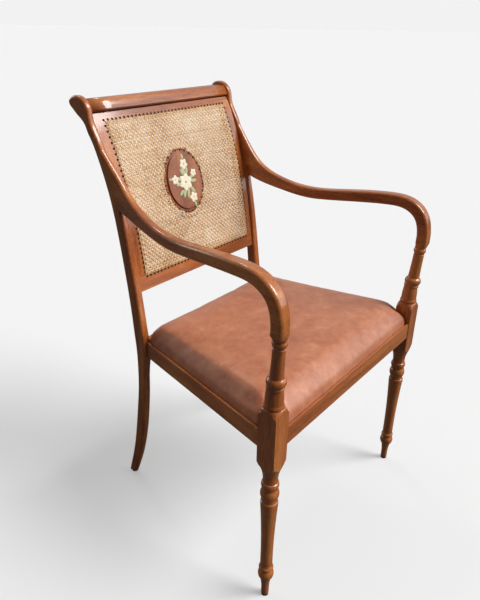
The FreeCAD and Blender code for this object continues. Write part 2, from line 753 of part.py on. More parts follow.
def seat_outline(sketch, inset, pull):
    """The seat's plan with rounded corners, its long edges pulled in a little."""
    corners = [flat(corner) for corner in seat_corners(inset)]
    notch = corners[3].x - corners[2].x
    count = len(corners)
    bends = []
    for place, corner in enumerate(corners):
        arriving = (corner - corners[place - 1]).normalize()
        leaving = (corners[(place + 1) % count] - corner).normalize()
        turns_in = arriving.cross(leaving).z < 0
        radius = size.cover_inner_corner if turns_in else size.cover_corner
        radius = min(radius, notch_round_share * notch)
        half_turn = arriving.getAngle(leaving) / 2
        run = radius * math.tan(half_turn)
        inward = (leaving - arriving).normalize()
        middle = corner + inward * (radius / math.cos(half_turn) - radius)
        bends.append((corner - arriving * run, middle, corner + leaving * run))
    edges = []
    for place, (start, middle, end) in enumerate(bends):
        edges.append(Part.Arc(start, middle, end))
        target = bends[(place + 1) % count][0]
        along = target - end
        if pull and along.Length > 2 * size.block_width:
            side = Vector(-along.y, along.x, 0).normalize()
            edges.append(Part.Arc(end, end + along / 2 + side * pull, target))
        else:
            edges.append(Part.LineSegment(end, target))
    sketch.addGeometry(edges, False)


def seat_form(name, margin):
    """The stretched pad's form, drawn in all round by a margin."""
    body = body_of(name + "_body")
    crown = size.seat_crown - size.rail_top
    sketches = []
    for place, (height_share, inset_share, pull_share) in enumerate(seat_section_shares):
        height = size.rail_top + height_share * crown - margin
        sketch = sketch_in(body, "XY_Plane", f"{name}_section_{place}", number(height))
        seat_outline(sketch, inset_share * crown + margin, pull_share * crown)
        sketches.append(sketch)
    loft = body.newObject("PartDesign::AdditiveLoft", name + "_loft")
    loft.Profile = sketches[0]
    loft.Sections = sketches[1:]
    loft.Ruled = True
    return body


def flat_piece(name, height, thickness, points):
    body = body_of(name + "_body")
    sketch = sketch_in(body, "XY_Plane", name + "_plan", height)
    polygon(sketch, points)
    pad(body, sketch, name + "_pad", thickness)
    return body


# Rods that lie along the chair's width or depth
across = FreeCAD.Rotation(Vector(0, 1, 0), 90)
rearward = FreeCAD.Rotation(Vector(1, 0, 0), -90)


def plain_rod(name, radius, length, base, tilt=None):
    """A rod whose place follows a curve or a slant, worked out from the sheet's sizes."""
    return rod(name, radius, length, [number(value) for value in base], tilt)


# Shared joints
post_right_blank, post_right_square = post_blank()
post_left_blank = mirrored("post_left_blank", post_right_blank)
post_squares = group("post_squares", [post_right_square,
                                      mirrored("post_left_square", post_right_square)])
support_right_blank = support_blank()

support_dowel = rod("support_dowel", "Sizes.support_dowel_radius", "Sizes.support_dowel_length",
                    ("Sizes.leg_spread", "-Sizes.leg_forward",
                     "Sizes.block_top - Sizes.support_dowel_length / 2"))
support_dowels = group("support_dowels", [support_dowel, mirrored("dowel_left", support_dowel)])

dowel_places = []
for height, depth in ((size.lower_rail_bottom, size.lower_rail_depth / 2),
                      (size.upper_rail_bottom + size.hole_pitch, size.frame_depth / 2),
                      (size.upper_rail_top + size.hole_pitch, size.crest_depth / 2)):
    if height == size.lower_rail_bottom:
        low = height + size.hole_pitch
        dowel_places += [(low, depth), (low + size.lower_dowel_gap, depth)]
    else:
        dowel_places.append((height, depth))
back_dowel_rods = []
for place, (height, depth) in enumerate(dowel_places):
    middle, width = post_across(height)
    start = (middle - (width + size.back_dowel_length) / 2, back_face(height) + depth, height)
    peg = plain_rod(f"back_dowel_{place}", "Sizes.back_dowel_radius",
                    "Sizes.back_dowel_length", start, across)
    back_dowel_rods += [peg, mirrored(f"back_dowel_left_{place}", peg)]
back_dowels = group("back_dowels", back_dowel_rods)

# Tenons of the seat rails, and the mortises that are longer by the glue gap
rail_bottom = "Sizes.rail_top - Sizes.rail_height"
ledge_height = "(Sizes.rail_top - Sizes.rebate_depth)"
block_rear = "(Sizes.block_width / 2 - Sizes.leg_forward)"
block_inner = "(Sizes.leg_spread - Sizes.block_width / 2)"


def tenon_with_mortise(name, corner, spans, axis, free_ends):
    tenon = box(name + "_tenon", corner, spans)
    corner = list(corner)
    spans = list(spans)
    if "low" in free_ends:
        corner[axis] += " - Sizes.glue_gap"
    spans[axis] += f" + {len(free_ends)} * Sizes.glue_gap"
    return tenon, box(name + "_mortise", corner, spans)


front_tenon, front_mortise = tenon_with_mortise(
    "front_rail",
    (f"-{block_inner} - Sizes.tongue_length",
     "-Sizes.leg_forward - Sizes.block_width / 2 + Sizes.rail_setback"
     " + (Sizes.rail_thickness - Sizes.tongue_thickness) / 2",
     rail_bottom + " + Sizes.tongue_rise"),
    (f"2 * {block_inner} + 2 * Sizes.tongue_length", "Sizes.tongue_thickness",
     "Sizes.tongue_height"), 0, ("low", "high"))
side_front_tenon, side_front_mortise = tenon_with_mortise(
    "side_front",
    ("Sizes.leg_spread + Sizes.block_width / 2 - Sizes.rail_setback"
     " - Sizes.side_tongue_inset - Sizes.tongue_thickness / 2",
     f"{block_rear} - Sizes.tongue_length", rail_bottom + " + Sizes.tongue_rise"),
    ("Sizes.tongue_thickness", "Sizes.tongue_length + Sizes.tongue_root",
     "Sizes.tongue_height"), 1, ("low",))
side_rear_tenon, side_rear_mortise = tenon_with_mortise(
    "side_rear",
    ("Sizes.side_rail_rear_spread - Sizes.rear_tongue_inset - Sizes.tongue_thickness / 2",
     "Sizes.side_rail_rear - Sizes.tongue_root", rail_bottom + " + Sizes.tongue_rise"),
    ("Sizes.tongue_thickness", "Sizes.tongue_length + Sizes.tongue_root",
     "Sizes.tongue_height"), 1, ("high",))
back_tenon, back_mortise = tenon_with_mortise(
    "back_rail",
    ("Sizes.post_width / 2 - Sizes.post_spread - Sizes.tongue_length",
     "Sizes.back_rail_front + Sizes.back_rail_thickness"
     " - (Sizes.back_lip_width + Sizes.tongue_thickness) / 2",
     ledge_height + " + Sizes.tongue_rise / 2"),
    ("2 * Sizes.post_spread - Sizes.post_width + 2 * Sizes.tongue_length",
     "Sizes.tongue_thickness", "Sizes.tongue_height"), 0, ("low", "high"))

# Screws of the corner blocks
screw_height = size.rail_top - size.rail_height + size.corner_block_height / 2
screw_run = size.corner_block_leg * (1 - corner_screw_share)
front_inner = size.rail_setback - size.leg_forward - size.block_width / 2 + size.rail_thickness
block_back = size.block_width / 2 - size.leg_forward
block_side = size.leg_spread - size.block_width / 2
rail_inset = size.rail_thickness * side_slant()
screw_starts = [
    (block_side - screw_run, front_inner - size.corner_screw_bite, rearward),
    (side_face(block_back + screw_run) - rail_inset + size.corner_screw_bite
     - size.corner_screw_length, block_back + screw_run, across),
    (side_face(size.back_rail_front) - rail_inset - screw_run,
     size.back_rail_front + size.corner_screw_bite - size.corner_screw_length, rearward),
    (side_face(size.back_rail_front - screw_run) - rail_inset + size.corner_screw_bite
     - size.corner_screw_length, size.back_rail_front - screw_run, across),
]
screws = []
for place, (x, y, tilt) in enumerate(screw_starts):
    screw = plain_rod(f"corner_screw_{place}", "Sizes.corner_screw_radius",
                      "Sizes.corner_screw_length", (x, y, screw_height), tilt)
    screws += [screw, mirrored(f"corner_screw_left_{place}", screw)]
corner_screws = group("corner_screws", screws)

# Screw and plug that hold the arm to the post, in from the post's back
arm_screw_share = (size.arm_screw_height - size.knee_height) / (size.chair_height - size.knee_height)
thin, thinner = post_thickness_shares[5:7]
screw_part = (arm_screw_share - thin[0]) / (thinner[0] - thin[0])
post_thickness = (thin[1] + (thinner[1] - thin[1]) * screw_part) * size.post_depth
screw_head = back_face(size.arm_screw_height) - size.post_proud + post_thickness
screw_head -= size.arm_plug_length
screw_across = post_across(size.arm_screw_height)[0]
arm_screw = plain_rod("arm_screw", "Sizes.arm_screw_radius", "Sizes.arm_screw_length",
                      (screw_across, screw_head - size.arm_screw_length, size.arm_screw_height),
                      rearward)
plug_rod = plain_rod("arm_plug_rod", "Sizes.arm_plug_radius", "Sizes.overrun",
                     (screw_across, screw_head, size.arm_screw_height), rearward)
arm_plug = common("arm_plug", plug_rod, post_right_blank)


# Frame nodes
def both_sides(label, right, solids=1):
    node(label + "_right", right, solids)
    node(label + "_left", mirrored(label + "_mirror", right), solids)


leg = cut("leg", leg_blank(), [front_mortise, side_front_mortise, support_dowel])
both_sides("leg_front", leg)
support = cut("support", support_right_blank, [leg, support_dowel])
both_sides("arm_support", support)
node("support_dowels", support_dowels, 2)
post = cut("post", post_right_blank,
           [side_rear_mortise, back_mortise, back_dowels, arm_screw, plug_rod])
both_sides("post", post)
arm = cut("arm", arm_blank(), [post_right_blank, arm_stop(), arm_seat_tool(), support_right_blank,
                               arm_screw])
both_sides("arm", arm)
node("arm_screws", group("arm_screws", [arm_screw, mirrored("arm_screw_left", arm_screw)]), 2)
node("arm_plugs", group("arm_plugs", [arm_plug, mirrored("arm_plug_left", arm_plug)]), 2)

post_blanks = group("post_blanks", [post_right_blank, post_left_blank])
crest_blank = back_strip("crest", size.upper_rail_top, size.crest_top, size.crest_depth, None,
                         "2 * Sizes.post_spread + Sizes.post_flare", True)
doc.recompute()
crest_edges = [
    f"Edge{place}" for place, edge in enumerate(crest_blank.Tip.Shape.Edges, start=1)
    if edge.BoundBox.ZMin > size.crest_top - size.crest_quirk and edge.Length > size.post_spread
]
round_off(crest_blank, crest_edges, "crest_rounding", "Sizes.crest_round")
crest_quirk = box("crest_quirk_tool",
                  ("-Sizes.post_spread - Sizes.post_flare",
                   number(back_face(size.upper_rail_top) - size.crest_quirk),
                   "Sizes.upper_rail_top"),
                  ("2 * Sizes.post_spread + 2 * Sizes.post_flare", "2 * Sizes.crest_quirk",
                   "Sizes.crest_quirk"))
node("crest_rail", cut("crest", crest_blank, [post_squares, back_dowels, crest_quirk]))

upper_blank = back_strip("upper_rail", size.upper_rail_bottom, size.upper_rail_top,
                         size.frame_depth, None, "2 * Sizes.post_spread + Sizes.post_flare", True)
drill(upper_blank, "upper_row", cane_row(size.upper_hole_height), size.hole_radius)
node("back_upper_rail", cut("upper_rail", upper_blank, [post_squares, back_dowels]))

lower_blank = back_strip("lower_rail", size.lower_rail_bottom, size.lower_rail_top,
                         size.lower_rail_depth, None, "2 * Sizes.post_spread", True)
drill(lower_blank, "lower_row", cane_row(size.lower_hole_height), size.hole_radius)
node("back_lower_rail", cut("lower_rail", lower_blank, [post_squares, back_dowels]))

both_sides("back_stile", cut("stile", stile_blank(), [post_right_square]))
node("back_dowels", back_dowels, len(back_dowel_rods))
node("medallion_rim", medallion_rim())
node("medallion_field", medallion_field())
node("cane_panel", cane_sheet())

front_rail = cut("front_rail", fuse("front_rail_whole", [front_rail_blank(), front_tenon]),
                 [corner_screws])
node("seat_rail_front", front_rail)
side_rail_cut = cut("side_rail_cut", side_rail_blank(), [post_right_blank, corner_screws])
side_rail = fuse("side_rail", [side_rail_cut, side_front_tenon, side_rear_tenon])
both_sides("seat_rail", side_rail)
side_rails = group("side_rails", [side_rail, mirrored("side_rail_left", side_rail)])
back_rail_cut = cut("back_rail_cut", back_rail_blank(), [post_blanks, side_rails, corner_screws])
node("seat_rail_back", fuse("back_rail", [back_rail_cut, back_tenon]))

block_leg = size.corner_block_leg
rear_depth = size.back_rail_front
front_block = flat_piece("front_block", rail_bottom, "Sizes.corner_block_height", [
    (block_side - block_leg, front_inner), (block_side, front_inner), (block_side, block_back),
    (side_face(block_back) - rail_inset, block_back),
    (side_face(block_back + block_leg) - rail_inset, block_back + block_leg)])
rear_block = flat_piece("rear_block", rail_bottom, "Sizes.corner_block_height", [
    (side_face(rear_depth) - rail_inset, rear_depth),
    (side_face(rear_depth) - rail_inset - block_leg, rear_depth),
    (side_face(rear_depth - block_leg) - rail_inset, rear_depth - block_leg)])
both_sides("corner_block_front", cut("front_block", front_block, [corner_screws]))
both_sides("corner_block_rear", cut("rear_block", rear_block, [corner_screws]))
node("corner_screws", corner_screws, len(screws))

front_glide = rod("front_glide", "Sizes.glide_radius", "Sizes.glide_height",
                  ("Sizes.leg_spread", "-Sizes.leg_forward", "0"))
rear_glide = rod("rear_glide", "Sizes.rear_glide_radius", "Sizes.glide_height",
                 ("Sizes.post_spread - Sizes.post_toe_in", "Sizes.foot_setback", "0"))
glides = [front_glide, mirrored("front_glide_left", front_glide),
          rear_glide, mirrored("rear_glide_left", rear_glide)]
node("foot_glides", group("foot_glides", glides), len(glides))

# Seat nodes
wrap = size.cover_thickness + size.soft_gap
seat_base = f"{ledge_height} + Sizes.dust_cloth_thickness"
inner_wrap = wrap + size.seat_rail_width
front_corner, step_corner = seat_corners(wrap)[1:3]
seat_back_line = size.seat_rear - wrap
seat_back_front = seat_back_line - size.seat_rail_width
seat_dowel_height = (size.rail_top - size.rebate_depth + size.dust_cloth_thickness
                     + size.seat_rail_height - size.seat_dowel_drop)
seat_front_dowel = plain_rod(
    "seat_front_dowel", "Sizes.seat_dowel_radius", "Sizes.seat_dowel_length",
    ((step_corner[0] + seat_side(step_corner[1], inner_wrap)) / 2,
     step_corner[1] - size.seat_dowel_length / 2, seat_dowel_height), rearward)
seat_back_dowel = plain_rod(
    "seat_back_dowel", "Sizes.seat_dowel_radius", "Sizes.seat_dowel_length",
    (seat_side(seat_back_line, inner_wrap) - size.seat_dowel_length / 2,
     (seat_back_line + seat_back_front) / 2, seat_dowel_height), across)
seat_dowel_rods = [seat_front_dowel, mirrored("seat_front_dowel_left", seat_front_dowel),
                   seat_back_dowel, mirrored("seat_back_dowel_left", seat_back_dowel)]
seat_dowels = group("seat_dowels", seat_dowel_rods)

tack_rods = []
tack_base = size.rail_top - size.rebate_depth
for place, (start, end) in enumerate(zip(seat_corners(size.tack_margin),
                                         seat_corners(size.tack_margin)[1:]
                                         + seat_corners(size.tack_margin)[:1])):
    if math.dist(start, end) < 2 * size.block_width:
        continue
    for step, share in enumerate(tack_shares):
        x = start[0] + (end[0] - start[0]) * share
        y = start[1] + (end[1] - start[1]) * share
        name = f"tack_{place}_{step}"
        head = plain_rod(name + "_head", "Sizes.tack_head_radius", "Sizes.tack_head_height",
                         (x, y, tack_base - size.tack_head_height))
        shank = plain_rod(name + "_shank", "Sizes.tack_shank_radius", "Sizes.tack_length",
                          (x, y, tack_base))
        tack_rods.append(fuse(name, [head, shank]))
tacks = group("tacks", tack_rods)

seat_front = flat_piece("seat_front", seat_base, "Sizes.seat_rail_height", [
    (-front_corner[0], front_corner[1]), front_corner, step_corner,
    (-step_corner[0], step_corner[1])])
seat_side_piece = flat_piece("seat_side", seat_base, "Sizes.seat_rail_height", [
    (seat_side(step_corner[1], wrap), step_corner[1]),
    (seat_side(seat_back_line, wrap), seat_back_line),
    (seat_side(seat_back_line, inner_wrap), seat_back_line),
    (seat_side(step_corner[1], inner_wrap), step_corner[1])])
seat_back = flat_piece("seat_back", seat_base, "Sizes.seat_rail_height", [
    (seat_side(seat_back_line, inner_wrap), seat_back_line),
    (-seat_side(seat_back_line, inner_wrap), seat_back_line),
    (-seat_side(seat_back_front, inner_wrap), seat_back_front),
    (seat_side(seat_back_front, inner_wrap), seat_back_front)])
core = seat_form("seat_core", wrap)


def seat_frame_piece(name, stock):
    """A piece of the seat's frame, its corners rounded to lie inside the leather."""
    return cut(name, common(name + "_trimmed", stock, core), [seat_dowels, tacks])


node("seat_frame_front", seat_frame_piece("seat_front", seat_front))
both_sides("seat_frame", seat_frame_piece("seat_side", seat_side_piece))
node("seat_frame_back", seat_frame_piece("seat_back", seat_back))
node("seat_frame_dowels", seat_dowels, len(seat_dowel_rods))


def strap(name, low, high, level):
    base = (size.rail_top - size.rebate_depth + size.dust_cloth_thickness
            + size.seat_rail_height + level * size.webbing_thickness)
    return box(name, [number(value) for value in (low[0], low[1], base)],
               (number(high[0] - low[0]), number(high[1] - low[1]), "Sizes.webbing_thickness"))


half_strap = size.webbing_width / 2
strap_front = front_corner[1] + size.webbing_margin
strap_rear = seat_back_line - size.webbing_margin
long_straps = []
for place, share in enumerate(long_strap_shares):
    middle = share * seat_side(size.seat_rear, 0)
    long_straps.append(strap(f"long_strap_{place}", (middle - half_strap, strap_front),
                             (middle + half_strap, strap_rear), 0))
cross_straps = []
for place, share in enumerate(cross_strap_shares):
    middle = strap_front + share * (strap_rear - strap_front)
    reach = seat_side(middle + half_strap, wrap + size.webbing_margin)
    cross_straps.append(strap(f"cross_strap_{place}", (-reach, middle - half_strap),
                              (reach, middle + half_strap), 1))
node("seat_webbing_long", group("long_straps", long_straps), len(long_straps))
node("seat_webbing_cross", group("cross_straps", cross_straps), len(cross_straps))

cover_outer = seat_form("cover_outer", 0)
cover_inner = seat_form("cover_inner", size.cover_thickness)
node("seat_cover", cut("cover", cover_outer, [cover_inner]))
foam_under = box("foam_under_tool",
                 ("-2 * Sizes.leg_spread", "-2 * Sizes.leg_forward", "0"),
                 ("4 * Sizes.leg_spread", "4 * Sizes.leg_forward",
                  f"{seat_base} + Sizes.seat_rail_height + 2 * Sizes.webbing_thickness"))
node("seat_foam", cut("foam", core, [foam_under]))

cloth = body_of("dust_cloth_body")
cloth_plan = sketch_in(cloth, "XY_Plane", "dust_cloth_plan", ledge_height)
seat_outline(cloth_plan, size.dust_cloth_margin, 0)
pad(cloth, cloth_plan, "dust_cloth_sheet", "Sizes.dust_cloth_thickness")
node("seat_dust_cloth", cut("dust_cloth", cloth, [tacks]))
node("seat_tacks", tacks, len(tack_rods))

doc.recompute()
failed = [thing.Name for thing in doc.Objects
          if "Invalid" in thing.State or "Error" in thing.State]
if failed:
    raise RuntimeError("objects that failed to compute: " + ", ".join(failed))
for thing, solids in nodes:
    shape = thing.Shape
    label = thing.Label
    if shape.isNull() or not shape.isValid():
        raise RuntimeError(f"{label} has no valid shape")
    if len(shape.Solids) != solids:
        raise RuntimeError(f"{label} has {len(shape.Solids)} solids, not {solids}")
os.makedirs("parts", exist_ok=True)
for thing, solids in nodes:
    thing.Shape.exportStep(f"parts/{thing.Label}.step")
print(f"wrote {len(nodes)} parts")
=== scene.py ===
import json
import math

import bpy
from mathutils import Matrix, Vector

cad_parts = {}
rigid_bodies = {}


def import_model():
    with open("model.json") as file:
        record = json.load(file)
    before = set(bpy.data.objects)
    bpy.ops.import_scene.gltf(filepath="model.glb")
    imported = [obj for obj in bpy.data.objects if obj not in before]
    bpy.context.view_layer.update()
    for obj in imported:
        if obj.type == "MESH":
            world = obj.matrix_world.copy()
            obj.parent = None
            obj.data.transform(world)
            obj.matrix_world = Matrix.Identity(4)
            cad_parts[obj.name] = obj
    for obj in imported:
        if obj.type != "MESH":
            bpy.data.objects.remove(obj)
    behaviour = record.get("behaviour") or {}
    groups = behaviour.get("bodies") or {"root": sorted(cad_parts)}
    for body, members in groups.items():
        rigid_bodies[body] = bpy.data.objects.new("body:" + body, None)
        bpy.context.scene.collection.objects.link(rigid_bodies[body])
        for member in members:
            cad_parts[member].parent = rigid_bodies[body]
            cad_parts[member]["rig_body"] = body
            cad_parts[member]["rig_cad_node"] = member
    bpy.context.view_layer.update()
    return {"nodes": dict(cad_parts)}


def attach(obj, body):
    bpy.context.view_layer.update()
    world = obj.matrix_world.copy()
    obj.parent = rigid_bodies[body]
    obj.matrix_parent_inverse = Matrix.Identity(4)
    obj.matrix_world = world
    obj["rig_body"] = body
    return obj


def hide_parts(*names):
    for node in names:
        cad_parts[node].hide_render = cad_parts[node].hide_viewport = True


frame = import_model()
nodes = frame["nodes"]
mm = 0.001
print("frame: loaded", len(nodes), "nodes")


# Small helpers
def colour(hexText):  # sRGB hex to the linear values that shaders take
    shares = [int(hexText[place:place + 2], 16) / 255 for place in (0, 2, 4)]
    linear = [share / 12.92 if share <= 0.04045 else ((share + 0.055) / 1.055) ** 2.4 for share in shares]
    return linear + [1]


def addNode(tree, kind, settings=None, inputs=None, stops=None):
    # inputs: values, or sockets to link from; stops: a ramp's (place, hex colour) pairs
    made = tree.nodes.new(kind)
    for name, value in (settings or {}).items():
        setattr(made, name, value)
    for name, value in (inputs or {}).items():
        if isinstance(value, bpy.types.NodeSocket):
            tree.links.new(value, made.inputs[name])
        else:
            made.inputs[name].default_value = value
    if stops:
        while len(made.color_ramp.elements) < len(stops):
            made.color_ramp.elements.new(0.5)
        for element, (place, hexText) in zip(made.color_ramp.elements, stops):
            element.position = place
            element.color = colour(hexText)
    return made


def newMaterial(name):
    material = bpy.data.materials.new(name)
    material.use_nodes = True
    material.node_tree.nodes.clear()
    return material, material.node_tree


def limited(share):
    return min(max(share, 0), 1)


def eased(share):  # slow at both ends
    return share * share * (3 - 2 * share)


def deselectAll():
    if bpy.context.object and bpy.context.object.mode != "OBJECT":
        bpy.ops.object.mode_set(mode="OBJECT")
    bpy.ops.object.select_all(action="DESELECT")


def applyModifiers(piece):
    deselectAll()
    piece.select_set(True)
    bpy.context.view_layer.objects.active = piece
    for modifier in list(piece.modifiers):
        bpy.ops.object.modifier_apply(modifier=modifier.name)


def subdivideSmooth(piece, levels):
    rounding = piece.modifiers.new("rounding", "SUBSURF")
    rounding.levels = levels
    rounding.render_levels = levels
    applyModifiers(piece)


def smoothFaces(piece):
    for polygon in piece.data.polygons:
        polygon.use_smooth = True


def closeShell(weldGap=None):  # on the active piece: join its seam, fill its ends, turn its faces outwards
    bpy.ops.object.mode_set(mode="EDIT")
    bpy.ops.mesh.select_all(action="SELECT")
    if weldGap:
        bpy.ops.mesh.remove_doubles(threshold=weldGap)
    bpy.ops.mesh.fill_holes(sides=0)
    bpy.ops.mesh.normals_make_consistent(inside=False)
    bpy.ops.object.mode_set(mode="OBJECT")


def joinPieces(pieces, name):
    deselectAll()
    for piece in pieces:
        piece.select_set(True)
    bpy.context.view_layer.objects.active = pieces[0]
    bpy.ops.object.join()
    joined = bpy.context.object
    joined.name = name
    joined.data.name = name
    return joined


def mergedCopy(names, newName):  # the CAD nodes' own forms in one new mesh, with its doubles merged
    copies = []
    for name in names:
        copy = nodes[name].copy()
        copy.data = nodes[name].data.copy()
        copy.parent = None
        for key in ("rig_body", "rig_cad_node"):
            if key in copy:
                del copy[key]
        bpy.context.scene.collection.objects.link(copy)
        copies.append(copy)
    joined = joinPieces(copies, newName)
    bpy.ops.object.mode_set(mode="EDIT")
    bpy.ops.mesh.select_all(action="SELECT")
    bpy.ops.mesh.remove_doubles(threshold=0.01 * mm)
    bpy.ops.object.mode_set(mode="OBJECT")
    return joined


def finishPiece(piece, material, body):
    piece.data.materials.clear()
    piece.data.materials.append(material)
    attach(piece, body)


# Camera: stands where the photograph was taken
view = {
    "place": (-0.87960, -0.67954, 0.99887), "yaw": 38.5768, "pitch": 26.0360, "roll": 0.9522,
    "lens": 34.708, "sensorHeight": 36, "near": 0.02, "far": 60,
}
yaw, pitch, roll = (math.radians(view[key]) for key in ("yaw", "pitch", "roll"))
ahead = Vector((math.cos(yaw) * math.cos(pitch), math.sin(yaw) * math.cos(pitch), -math.sin(pitch)))
levelSide = Vector((math.sin(yaw), -math.cos(yaw), 0))
levelUp = levelSide.cross(ahead)
rightward = levelSide * math.cos(roll) + levelUp * math.sin(roll)
upward = levelUp * math.cos(roll) - levelSide * math.sin(roll)
facing = Matrix((rightward, upward, -ahead)).transposed().to_4x4()
deselectAll()
bpy.ops.object.camera_add()
camera = bpy.context.object
camera.name = "camera"
camera.matrix_world = Matrix.Translation(view["place"]) @ facing
camera.data.sensor_fit = "VERTICAL"
camera.data.sensor_height = view["sensorHeight"]
camera.data.lens = view["lens"]
camera.data.clip_start = view["near"]
camera.data.clip_end = view["far"]
bpy.context.scene.camera = camera

# Room: one pale ground to the horizon, a wide soft light from the right, dim air
room = {
    "paper": "f2f2f2", "floorPaper": "e9e9e9", "shadowLift": 0.34, "floorSize": 400, "bounce": "585450",
    "airTint": "f5f5f5", "airAbove": 0.52, "airBelow": 0.05, "airFrom": (0.74, 0.18, 0.64),
    "airDim": -0.5, "airBright": 0.9,  # cosines of the angle to airFrom at its dimmest and brightest
}
windows = {  # pale patches in the room's air: where, half width in degrees, softness in degrees, strength
    "lowFrontWindow": ((0.70, -0.70, 0.18), 16, 5, 1.8),
    "rearRooflight": ((0.24, 0.60, 0.76), 5, 2, 7.0),
    "farWindow": ((-0.10, 0.97, 0.22), 12, 6, 2.6),
}
bpy.ops.mesh.primitive_plane_add(size=room["floorSize"])
floor = bpy.context.object
floor.name = "floor"
paper, tree = newMaterial("matt paper floor")
path = addNode(tree, "ShaderNodeLightPath")
face = addNode(tree, "ShaderNodeBsdfDiffuse", inputs={"Color": colour(room["floorPaper"])})
bounce = addNode(tree, "ShaderNodeBsdfDiffuse", inputs={"Color": colour(room["bounce"])})
glow = addNode(tree, "ShaderNodeEmission", inputs={"Color": colour(room["paper"]), "Strength": 1})
lifted = addNode(tree, "ShaderNodeMixShader", inputs={
    0: room["shadowLift"], 1: face.outputs[0], 2: glow.outputs[0]})
mixed = addNode(tree, "ShaderNodeMixShader", inputs={
    0: path.outputs["Is Camera Ray"], 1: bounce.outputs[0], 2: lifted.outputs[0]})
addNode(tree, "ShaderNodeOutputMaterial", inputs={"Surface": mixed.outputs[0]})
floor.data.materials.append(paper)

world = bpy.data.worlds.new("room air")
bpy.context.scene.world = world
world.use_nodes = True
tree = world.node_tree
tree.nodes.clear()
coords = addNode(tree, "ShaderNodeTexCoord")
aim = addNode(tree, "ShaderNodeVectorMath", {"operation": "DOT_PRODUCT"}, {
    0: coords.outputs["Generated"], 1: Vector(room["airFrom"]).normalized()})
rise = addNode(tree, "ShaderNodeMapRange", inputs={
    "Value": aim.outputs["Value"], "From Min": room["airDim"], "From Max": room["airBright"],
    "To Min": room["airBelow"], "To Max": room["airAbove"]})
airLevel = rise.outputs["Result"]
for name, (place, halfWidth, softness, strength) in windows.items():
    near = addNode(tree, "ShaderNodeVectorMath", {"operation": "DOT_PRODUCT", "label": name}, {
        0: coords.outputs["Generated"], 1: Vector(place).normalized()})
    pane = addNode(tree, "ShaderNodeMapRange", {"interpolation_type": "SMOOTHSTEP"}, {
        "Value": near.outputs["Value"], "From Min": math.cos(math.radians(halfWidth + softness)),
        "From Max": math.cos(math.radians(halfWidth)), "To Min": 0, "To Max": strength})
    total = addNode(tree, "ShaderNodeMath", {"operation": "ADD"}, {0: airLevel, 1: pane.outputs["Result"]})
    airLevel = total.outputs[0]
path = addNode(tree, "ShaderNodeLightPath")
seen = addNode(tree, "ShaderNodeMath", {"operation": "MAXIMUM"}, {
    0: path.outputs["Is Camera Ray"], 1: path.outputs["Is Transmission Ray"]})
air = addNode(tree, "ShaderNodeBackground", inputs={"Color": colour(room["airTint"]), "Strength": airLevel})
backdrop = addNode(tree, "ShaderNodeBackground", inputs={"Color": colour(room["paper"]), "Strength": 1})
mixed = addNode(tree, "ShaderNodeMixShader", inputs={
    0: seen.outputs[0], 1: air.outputs[0], 2: backdrop.outputs[0]})
addNode(tree, "ShaderNodeOutputWorld", inputs={"Surface": mixed.outputs[0]})

lamps = {  # name: where it shines from, strength, width of the source in degrees, colour
    "windowLight": ((0.92, -1.42, 1.65), 3.0, 32, "ffffff"),
}
for name, (place, strength, spreadAngle, tint) in lamps.items():
    lamp = bpy.data.lights.new(name, "SUN")
    lamp.energy = strength
    lamp.angle = math.radians(spreadAngle)
    lamp.color = colour(tint)[:3]
    holder = bpy.data.objects.new(name, lamp)
    holder.location = place
    holder.rotation_euler = (-Vector(place)).to_track_quat("-Z", "Y").to_euler()
    bpy.context.scene.collection.objects.link(holder)
bpy.context.scene.view_settings.view_transform = "Standard"
print("room: camera, floor and lights")


